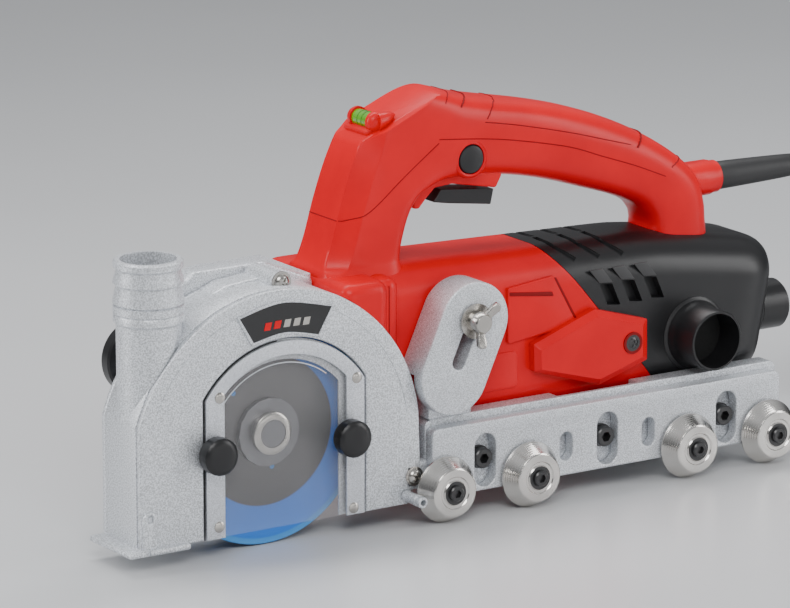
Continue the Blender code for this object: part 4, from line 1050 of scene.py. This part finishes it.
def make_base():
    parts = []
    for side in (-1, 1):
        low, high = sorted((side * RAIL_FACE, side * 0.038))
        rail = slab(f"rail_{side}", [box_shape((-0.0445, 0.208), (0.014, 0.0595), (0.005))], low, high,
            PLATE_METAL, 0.0007)
        if side < 0:
            cut(rail, block("relief", (0.05, -0.0471, 0.0549), (0.108, -0.037, 0.0605)))
        parts.append(rail)
        for number in (-1, 0, 1):
            x = SLOT_MIDDLE_X + number * SLOT_PITCH
            face = side * RAIL_FACE
            parts.append(socket_screw(f"clamp_{side}_{number}", x, CLAMP_Z, face, BLACK_OXIDE, 0.0061, 0.0068,
                side))
            parts.append(disc(f"clamp_washer_{side}_{number}", 0.0069, side * 0.0018, (x, face, CLAMP_Z), "Y",
                BLACK_OXIDE, 32))
    parts.append(block("bridge", (0.08, -0.043, 0.02), (0.19, 0.043, 0.0265), PLATE_METAL, 0.0008))
    piece(gather("base_rails", *parts), "base", ("base_frame",))

    for side, name in ((-1, "near"), (1, "far")):
        outlines = [box_shape((-0.0445, 0.2055), (0.014, 0.0553), 0.0045)]
        for number in (-1, 0, 1):
            x = SLOT_MIDDLE_X + number * SLOT_PITCH
            outlines.append(slot_shape((x, 0.0235), (x, 0.0405), 0.0074, 12))
        for x in (SLOT_MIDDLE_X - 0.0296, SLOT_MIDDLE_X + 0.0296):
            outlines.append(slot_shape((x, 0.0275), (x, 0.0355), 0.0046, 10))
        low, high = sorted((side * 0.058, side * 0.05))
        parts = [slab(f"{name}_bar", outlines, low, high, PLATE_METAL, 0.0009, 3)]
        for number, offset in enumerate(ROLLER_PLACES, 1):
            x = SLOT_MIDDLE_X + offset
            parts.append(socket_screw(f"{name}_axle_{number}", x, ROLLER_R, side * PIN_FACE, BLACK_OXIDE,
                0.0048, 0.0027, side))
            for kind, radius, deep, face, look, sides in (("axle_ring", 0.007, 0.0007, PIN_FACE, BLACK_OXIDE,
                    32), ("pin", 0.004, 0.016, 0.0545, NICKEL, 24), ("hub", 0.0085, 0.0006, 0.0579, NICKEL,
                    32)):
                parts.append(disc(f"{name}_{kind}_{number}", radius, side * deep, (x, side * face, ROLLER_R),
                    "Y", look, sides))
        piece(gather(f"{name}_wheel_plate_bar", *parts), f"{name}_wheel_plate",
            (f"wheel_plate_{name}",))
        profile = [(0.0043, 0.0588), (0.0186, 0.0588), (ROLLER_R, 0.0597), (ROLLER_R, 0.0606),
            (0.0188, 0.0614), (0.0146, 0.07), (0.0138, 0.0705), (0.0098, 0.0705), (0.0092, 0.0699),
            (0.0076, 0.0699), (0.007, 0.0705), (0.0062, 0.0705), (0.0062, 0.0695), (0.0043, 0.0695)]
        for number, offset in enumerate(ROLLER_PLACES, 1):
            wheel = turned(f"wheel_{name}_{number}", [(r, side * h) for r, h in profile],
                (SLOT_MIDDLE_X + offset, 0.0, ROLLER_R), "Y", TURNED, 72)
            piece(wheel, f"{name}_roller_{number}", (f"roller_{name}_{number}",), 25.0)


def make_arm():
    low, high = (-0.0305, 0.0855), (-0.0165, 0.1165)
    hole = slot_shape((-0.0275, 0.0935), (-0.017, 0.117), 0.0043, 10)
    arm = slab("arm", [slot_shape(low, high, 0.023, 30), hole], -0.06, -0.0376, PLATE_METAL, 0.0012, 3)
    cut(arm, block("arm_relief", (-0.07, -0.052, 0.05), (0.02, -0.03, 0.088)))
    foot = block("arm_foot", (-0.0438, -0.0525, 0.06), (-0.0142, -0.0387, 0.075), PLATE_METAL, 0.001)
    piece(gather("arm_plate", arm, foot), "base", ("depth_arm",))

    stud = (-0.017, 0.117)
    washer = turned("wing_washer", mm([(0, 0), (10, 0), (10.4, -0.5), (10.4, -1.6), (0, -1.6)]),
        (stud[0], -0.0603, stud[1]), "Y", NICKEL, 40)
    hub_part = turned("wing_hub", mm([(0, -9), (5, -9), (5.8, -8.1), (6.4, -1.6), (6.6, 0), (0, 0)]),
        (stud[0], -0.0612, stud[1]), "Y", NICKEL, 36)
    rod_part = turned("stud", mm([(0, -9.5), (2.6, -9.5), (3.1, -8.8), (3.1, 28), (0, 28)]),
        (stud[0], -0.0597, stud[1]), "Y", NICKEL, 24)
    parts = [washer, hub_part, rod_part]
    for number, turn in enumerate((48.0, 268.0)):
        shape = rounded(mm([(2.5, -2.6), (9, -3), (13.5, -3.6), (15.5, -1.4), (15.3, 1.4), (12, 2.4),
            (8, 1.8), (2.5, 2.2)]), 0.0014, 4)
        wing = slab(f"wing_{number}", [shape], -0.0018, 0.0018, NICKEL, 0.0008, 3)
        wing.data.transform(Matrix.Rotation(math.radians(-18.0), 4, "Z"))
        wing.data.transform(Matrix.Rotation(-math.radians(turn), 4, "Y"))
        wing.location = (stud[0], -0.0648, stud[1])
        parts.append(wing)
    piece(gather("wing_nut_set", *parts), "wing_nut", ("wing_nut",))


# ---------------------------------------------------------------- lead
CORD_R = 0.005
CORD_START = 0.2573
CORD_Z = 0.165
BEND_R = 0.043
COIL_MIDDLE = (0.39, 0.05)
FIRST_TURN, OUTER_TURN, INNER_TURN = 0.0723, 0.0615, 0.0505
TIE_REACH = 0.056


def ease(value, start, end):
    t = max(0.0, min(1.0, (value - start) / (end - start)))
    return t * t * (3.0 - 2.0 * t)


def coil_point(turn):
    """A point of the coil, from the angle in degrees that the lead has turned through."""
    radius = FIRST_TURN + (OUTER_TURN - FIRST_TURN) * ease(turn, -90.0, 0.0)
    radius += (INNER_TURN - OUTER_TURN) * (ease(turn, 270, 330) - ease(turn, 880, 940)
        + ease(turn, 1480, 1540))
    radius += 0.015 * ease(turn, 1690, 1766)
    height = 0.0053 + 0.0102 * (ease(turn, 580, 640) + ease(turn, 1180, 1240))
    height += 0.0169 * ease(turn, 1650, 1740)
    a = math.radians(turn)
    return COIL_MIDDLE[0] + radius * math.cos(a), COIL_MIDDLE[1] + radius * math.sin(a), height


def make_lead():
    drop_x = CORD_START + 0.01 + BEND_R
    floor_z = CORD_R + 0.0003
    route = [(CORD_START, 0.0, CORD_Z), (CORD_START + 0.005, 0.0, CORD_Z)]
    for turn in (90.0, 67.5, 45.0, 22.5, 0.0):
        route.append((drop_x - BEND_R * (1 - math.cos(math.radians(turn))), 0.0,
            CORD_Z - BEND_R * (1 - math.sin(math.radians(turn)))))
    route += [(drop_x, 0.0, 0.1), (drop_x, -0.0003, 0.073)]
    for turn, side in ((180.0, -0.002), (202.5, -0.0045), (225.0, -0.008), (247.5, -0.012), (270.0, -0.0165)):
        route.append((drop_x + BEND_R * (1 + math.cos(math.radians(turn))), side,
            floor_z + BEND_R * (1 + math.sin(math.radians(turn)))))
    route += [(drop_x + BEND_R + 0.018, -0.0203, floor_z), (COIL_MIDDLE[0], -0.0223, floor_z)]
    points = [tuple(p) for p in smooth_line(route, 40)]
    points += [coil_point(turn) for turn in range(-82, 1767, 8)]
    curve = bpy.data.curves.new("lead", "CURVE")
    curve.dimensions = "3D"
    curve.bevel_depth = CORD_R
    curve.bevel_resolution = 5
    curve.use_fill_caps = True
    spline = curve.splines.new("POLY")
    spline.points.add(len(points) - 1)
    for point, place in zip(spline.points, points):
        point.co = (*place, 1.0)
    spline.use_smooth = True
    lead = bpy.data.objects.new("lead", curve)
    to_scene(lead)
    curve.materials.append(RUBBER)
    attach(lead, "chaser")
    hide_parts("power_cord", "cord_coil")

    profile = mm([(0, 0), (8.4, 0), (8.6, 1), (8.4, 12), (7.9, 30), (7.3, 48), (6.8, 58), (6.2, 59.7),
        (5.5, 60), (0, 60)])
    boot = bake(turned("boot", profile, (0.197, 0.0, 0.165), "X", RUBBER, 40))
    piece(boot, "chaser", ("strain_relief",))

    low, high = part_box("power_plug")
    middle = (low + high) / 2.0
    sections = mm([(0, 6, 6), (4, 7.2, 7), (18, 7.8, 7.6), (23, 10, 9.8), (33, 12.2, 11.2), (50, 12.8, 11.6),
        (53, 12.4, 11.2), (54.5, 11.2, 10.2)])
    rings = []
    for along, wide, tall in sections:
        rings.append([(middle.x + wide * math.copysign(abs(math.cos(t)) ** 0.7, math.cos(t)), low.y + along,
            middle.z + tall * math.copysign(abs(math.sin(t)) ** 0.7, math.sin(t))) for t in turns(32)])
    body = loft("plug_body", rings, RUBBER)
    pins = [turned(f"plug_pin_{k}", mm([(0, 0), (2.4, 0), (2.4, 18), (1.5, 19.2), (0, 19.2)]),
        (middle.x + dx, low.y + 0.054, middle.z), "Y", NICKEL, 20) for k, dx in enumerate((-0.008, 0.008))]
    plug = piece(gather("plug", body, *pins), "chaser", ("power_plug",))

    tie_at = math.radians(200.0)
    out = Vector((math.cos(tie_at), math.sin(tie_at), 0.0))
    centre = Vector((*COIL_MIDDLE, 0.0157)) + out * TIE_REACH
    loop = rounded(mm([(-11.2, -15.4), (11.2, -15.4), (11.2, 15.2), (-11.2, 15.2)]), 0.0045, 5)
    along = Vector((-math.sin(tie_at), math.cos(tie_at), 0.0))
    rings = []
    for scale, shift in ((1.0, -0.006), (1.0, 0.006), (0.965, 0.006), (0.965, -0.006), (1.0, -0.006)):
        rings.append([centre + out * (a * scale) + Vector((0.0, 0.0, b * scale)) + along * shift
            for a, b in loop])
    tie = piece(loft("coil_tie", rings, BLACK, False), "chaser")


# ---------------------------------------------------------------- what stays as the CAD has it
def finish_cad_nodes():
    looks = {"cast_aluminium": CAST, "base_aluminium": PLATE_METAL, "roller_steel": TURNED,
        "nickel_steel": NICKEL, "blade_steel": DARK_STEEL, "dark_steel": DARK_STEEL, "red_plastic": RED,
        "black_plastic": BLACK, "carbon": CARBON, "clear_pane": PANE, "level_liquid": VIAL,
        "copper_windings": COPPER, "rubber": RUBBER}
    for part in frame["record"]["subparts"]:
        node = frame["nodes"][part["node"]]
        if node.hide_render:
            continue
        node.data.materials.clear()
        node.data.materials.append(looks[part["material_slot"]])
    for name, width in (("trigger", 0.0012), ("gear_case", 0.0016)):
        tool = frame["nodes"][name].modifiers.new("edges", "BEVEL")
        tool.width = width
        tool.segments = 3
        tool.limit_method = "ANGLE"
        tool.angle_limit = math.radians(35.0)


def make_floor():
    cage = bmesh.new()
    bmesh.ops.create_grid(cage, x_segments=1, y_segments=1, size=30.0)
    mesh = mesh_of(cage, "floor")
    floor = link_mesh("floor", mesh, floor_look())
    floor.location.z = -0.0002


make_lead()
make_guard()
make_blades()
make_motor()
make_handle()
make_base()
make_arm()
finish_cad_nodes()
make_floor()

bpy.context.view_layer.update()
